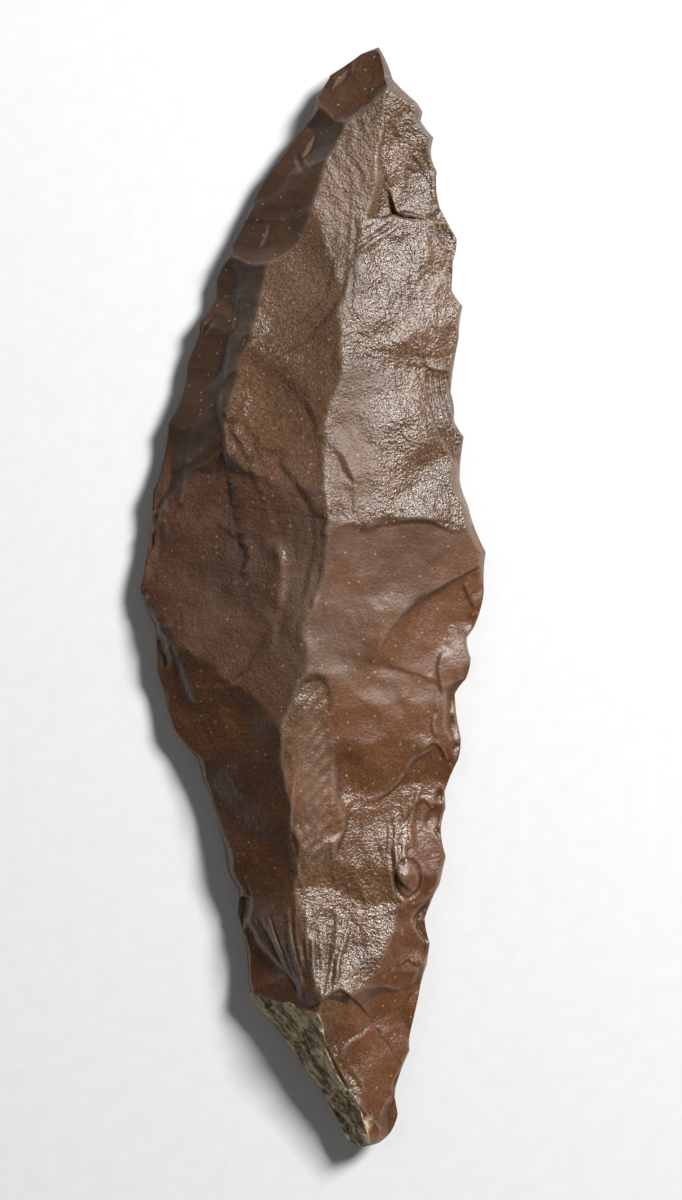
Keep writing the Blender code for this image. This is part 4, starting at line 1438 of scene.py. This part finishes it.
@dataclass(frozen=True)
class FlintFinish:
    """Fine-grained red-brown flint with a glossy patina, and its rind.

    Colours are linear, and heights and sizes are metres.
    """

    name: str = "flint"
    purple: Colour = (0.092, 0.040, 0.023)
    brown: Colour = (0.098, 0.042, 0.017)
    orange: Colour = (0.100, 0.033, 0.009)
    amber: Colour = (0.098, 0.034, 0.010)
    pit: Colour = (0.035, 0.020, 0.015)
    olive: Colour = (0.078, 0.042, 0.018)
    # Pale film colour: a speckled film on grainy faces that is partly painted sheen, and the colour of the
    # painted sheen patches and painted crest highlights
    film_and_sheen: Colour = (0.215, 0.165, 0.118)
    fleck: Colour = (0.34, 0.25, 0.13)
    cloud_depth: float = 0.16
    speck_depth: tuple[float, float] = (0.10, 0.45)
    edge_share: float = 0.75
    olive_share: float = 0.5
    film_and_sheen_share: float = 0.16
    # How strongly the painted sheen patches lighten the colour
    painted_sheen_share: float = 0.6
    fleck_share: float = 0.55
    # Shares of painted highlight on crests and painted shade in creases
    crest_share: float = 0.32
    crease_share: float = 0.6
    pit_share: float = 0.85
    gloss: float = 0.20
    matte: float = 0.46
    speck_roughness: float = 0.10
    pit_roughness: float = 0.25
    rind_roughness: float = 0.92
    refraction: float = 1.54
    shine: float = 0.40
    grain_size: float = 0.00013
    grain_height: float = 0.00010
    rind_height: float = 0.00012

    def material(self) -> bpy.types.Material:
        """The stone's material.

        Returns:
            The material, which reads the masks stored on the mesh.
        """
        made = bpy.data.materials.new(self.name)
        made.use_nodes = True
        made.node_tree.nodes.clear()
        wiring = Wiring(made.node_tree)
        place = wiring.node("ShaderNodeTexCoord").outputs["Object"]
        masks = {
            mask: wiring.node("ShaderNodeAttribute", attribute_name=mask.value).outputs["Fac"]
            for mask in Mask
        }
        stone = wiring.group(cloudy_stone(), {"Place": place}).outputs
        grain = wiring.group(
            stone_grain(),
            {
                "Place": place,
                "Pits": stone["Pits"],
                "Grain Size": self.grain_size,
                "Strength": masks[Mask.GRAIN],
            },
        )
        crust = wiring.group(Rind().effect(), {"Place": place}).outputs
        cortex = wiring.ranged(masks[Mask.CORTEX], 0.35, 0.65)
        colour = wiring.blended(cortex, self.stone_colour(wiring, masks, stone), crust["Color"])
        shader = wiring.node(
            "ShaderNodeBsdfPrincipled",
            {
                "Base Color": colour,
                "Roughness": self.roughness(wiring, masks, stone, cortex),
                "IOR": self.refraction,
                "Specular IOR Level": self.shine,
            },
        )
        fine = wiring.node("ShaderNodeBump", {"Distance": self.grain_height, "Strength": 1.0})
        wiring.plug(fine.inputs["Height"], grain.outputs["Height"])
        rough = wiring.node("ShaderNodeBump", {"Distance": self.rind_height, "Strength": 1.0})
        wiring.plug(rough.inputs["Height"], wiring.math("MULTIPLY", crust["Height"], cortex))
        wiring.plug(rough.inputs["Normal"], fine.outputs[0])
        wiring.plug(shader.inputs["Normal"], rough.outputs[0])
        wiring.node("ShaderNodeOutputMaterial", {"Surface": shader.outputs[0]})
        return made

    def stone_colour(
        self, wiring: Wiring, masks: dict[Mask, Value], stone: bpy.types.bpy_prop_collection
    ) -> bpy.types.NodeSocket:
        """The colour of the stone without its rind, with painted sheen, painted shade and painted crest
        highlights laid in.

        Args:
            wiring: The material's tree.
            masks: The mesh's masks.
            stone: The outputs of the cloudy stone.

        Returns:
            The colour.
        """
        dull = wiring.blended(wiring.ranged(masks[Mask.WARM], 0.0, 0.5), self.purple, self.brown)
        warm = wiring.blended(wiring.ranged(masks[Mask.WARM], 0.45, 1.0), dull, self.orange)
        lit_through = wiring.math("MULTIPLY", masks[Mask.THIN], self.edge_share)
        thin = wiring.blended(lit_through, warm, self.amber)
        grained = wiring.ranged(masks[Mask.GRAIN], 0.3, 1.0, 0.0, self.olive_share)
        tanned = wiring.blended(grained, thin, self.olive)
        # Speckled pale film on grainy faces, partly painted sheen, plus the painted sheen patches
        specks = wiring.ranged(stone["Specks"], 0.0, 1.0, 0.0, self.film_and_sheen_share)
        film_and_sheen = wiring.math("MULTIPLY", masks[Mask.GRAIN], specks)
        film_and_sheen = wiring.math("MULTIPLY_ADD", masks[Mask.PALE], self.painted_sheen_share, film_and_sheen)
        filmed_and_sheened = wiring.blended(film_and_sheen, tanned, self.film_and_sheen)
        shade = wiring.ranged(stone["Clouds"], 0.0, 1.0, 1.0 - self.cloud_depth, 1.0 + self.cloud_depth)
        depth = wiring.ranged(masks[Mask.GRAIN], 0.0, 1.0, *self.speck_depth)
        speck = wiring.math("MULTIPLY_ADD", wiring.math("SUBTRACT", stone["Specks"], 0.55), depth, 1.0)
        both = wiring.math("MULTIPLY", shade, speck)
        # Painted shade: the colour is darkened where the dark mask is high
        both = wiring.math("MULTIPLY", both, wiring.math("SUBTRACT", 1.0, masks[Mask.DARK]))
        grey = wiring.node("ShaderNodeCombineColor", {0: both, 1: both, 2: both}).outputs[0]
        mottled = wiring.blended(1.0, filmed_and_sheened, grey, "MULTIPLY")
        flecks = wiring.math("MULTIPLY", stone["Flecks"], self.fleck_share)
        flecked = wiring.blended(flecks, mottled, self.fleck)
        # Painted highlight on crests
        crest = wiring.ranged(masks[Mask.WEAR], 0.60, 1.0, 0.0, self.crest_share)
        overlaid = wiring.blended(crest, flecked, self.film_and_sheen)
        # Painted shade in creases, together with the darker pits
        crease = wiring.ranged(masks[Mask.WEAR], 0.40, 0.0, 0.0, self.crease_share)
        dark = wiring.math("MAXIMUM", crease, wiring.math("MULTIPLY", stone["Pits"], self.pit_share))
        return wiring.blended(dark, overlaid, self.pit)

    def roughness(
        self, wiring: Wiring, masks: dict[Mask, Value], stone: bpy.types.bpy_prop_collection, cortex: Value
    ) -> bpy.types.NodeSocket:
        """The stone's roughness: glossy scars, duller faces, and a matt rind.

        Args:
            wiring: The material's tree.
            masks: The mesh's masks.
            stone: The outputs of the cloudy stone.
            cortex: How much of the surface is rind.

        Returns:
            The roughness.
        """
        face = wiring.ranged(masks[Mask.MATTE], 0.0, 1.0, self.gloss, self.matte)
        overlaid = wiring.math("ADD", face, wiring.math("MULTIPLY", stone["Specks"], self.speck_roughness))
        overlaid = wiring.math("ADD", overlaid, wiring.math("MULTIPLY", stone["Pits"], self.pit_roughness))
        rest = wiring.math("MULTIPLY", overlaid, wiring.math("SUBTRACT", 1.0, cortex))
        return wiring.math("ADD", rest, wiring.math("MULTIPLY", cortex, self.rind_roughness))


@dataclass(frozen=True)
class PaperFinish:
    """The matt pale paper that the stone lies on."""

    name: str = "pale_paper"
    colour: Colour = (0.74, 0.74, 0.74)
    fibre_shade: float = 0.97
    fibre_size: float = 0.002
    roughness: float = 0.9

    def material(self) -> bpy.types.Material:
        """The paper's material.

        Returns:
            The material.
        """
        made = bpy.data.materials.new(self.name)
        made.use_nodes = True
        made.node_tree.nodes.clear()
        wiring = Wiring(made.node_tree)
        place = wiring.node("ShaderNodeTexCoord").outputs["Object"]
        fibres = wiring.ranged(wiring.noise(place, self.fibre_size, 3.0), 0.3, 0.7)
        darker = tuple(self.fibre_shade * part for part in self.colour)
        shade = wiring.blended(fibres, self.colour, darker)
        shader = wiring.node("ShaderNodeBsdfPrincipled", {"Base Color": shade, "Roughness": self.roughness})
        wiring.node("ShaderNodeOutputMaterial", {"Surface": shader.outputs[0]})
        return made


@dataclass(frozen=True)
class Softbox:
    """A square soft light that faces the stone."""

    name: str
    towards: tuple[float, float, float]
    distance: float
    side: float
    watts: float

    def build(self) -> None:
        """Hangs the light."""
        light = bpy.data.lights.new(self.name, "AREA")
        light.shape = "SQUARE"
        light.size = self.side
        light.energy = self.watts
        lamp = bpy.data.objects.new(self.name, light)
        towards = Vector(self.towards).normalized()
        lamp.location = towards * self.distance
        lamp.rotation_euler = towards.to_track_quat("Z", "Y").to_euler()
        bpy.context.scene.collection.objects.link(lamp)


@dataclass(frozen=True)
class Studio:
    """The table, the light and the camera, in metres and watts."""

    floor_half_side: float = 1.5
    softboxes: tuple[Softbox, ...] = (
        Softbox("key", (0.586, 0.458, 0.669), 0.60, 0.155, 6.3),
        Softbox("fill", (-0.42, 0.30, 0.85), 0.70, 0.40, 0.35),
    )
    air: Colour = (1.0, 1.0, 1.0)
    air_strength: float = 0.08
    lens_mm: float = 100.0
    camera_at: tuple[float, float, float] = (0.0030, -0.00033, 0.3668)

    def build_floor(self) -> bpy.types.Object:
        """Lays the floor at the stone's underside.

        Returns:
            The floor.
        """
        half = self.floor_half_side
        mesh = bpy.data.meshes.new("floor")
        corners = [(-half, -half, 0), (half, -half, 0), (half, half, 0), (-half, half, 0)]
        mesh.from_pydata(corners, [], [(0, 1, 2, 3)])
        floor = bpy.data.objects.new("floor", mesh)
        bpy.context.scene.collection.objects.link(floor)
        floor.data.materials.append(PaperFinish().material())
        return floor

    def build_lights(self) -> None:
        """Hangs the soft lights and fills the rest with pale air."""
        for softbox in self.softboxes:
            softbox.build()
        world = bpy.data.worlds.new("pale_air")
        world.use_nodes = True
        background = world.node_tree.nodes["Background"]
        background.inputs["Color"].default_value = (*self.air, 1.0)
        background.inputs["Strength"].default_value = self.air_strength
        bpy.context.scene.world = world

    def build_camera(self) -> None:
        """Sets the camera straight above the stone, as the photograph was taken."""
        lens = bpy.data.cameras.new("camera")
        lens.lens = self.lens_mm
        camera = bpy.data.objects.new("camera", lens)
        camera.location = self.camera_at
        bpy.context.scene.collection.objects.link(camera)
        bpy.context.scene.camera = camera


def main() -> None:
    """Builds the stone and the studio."""
    logging.basicConfig(level=logging.INFO, format="%(message)s")
    studio = Studio()
    log.info("floor: %s", studio.build_floor().name)
    studio.build_lights()
    studio.build_camera()
    size = Vector(CAD_BOX[1]) - Vector(CAD_BOX[0])
    stone = FlintBlade(size).build()
    log.info("%s: %d faces", stone.name, len(stone.data.polygons))
    bpy.context.scene.view_settings.view_transform = "Standard"


if __name__ == "__main__":
    main()
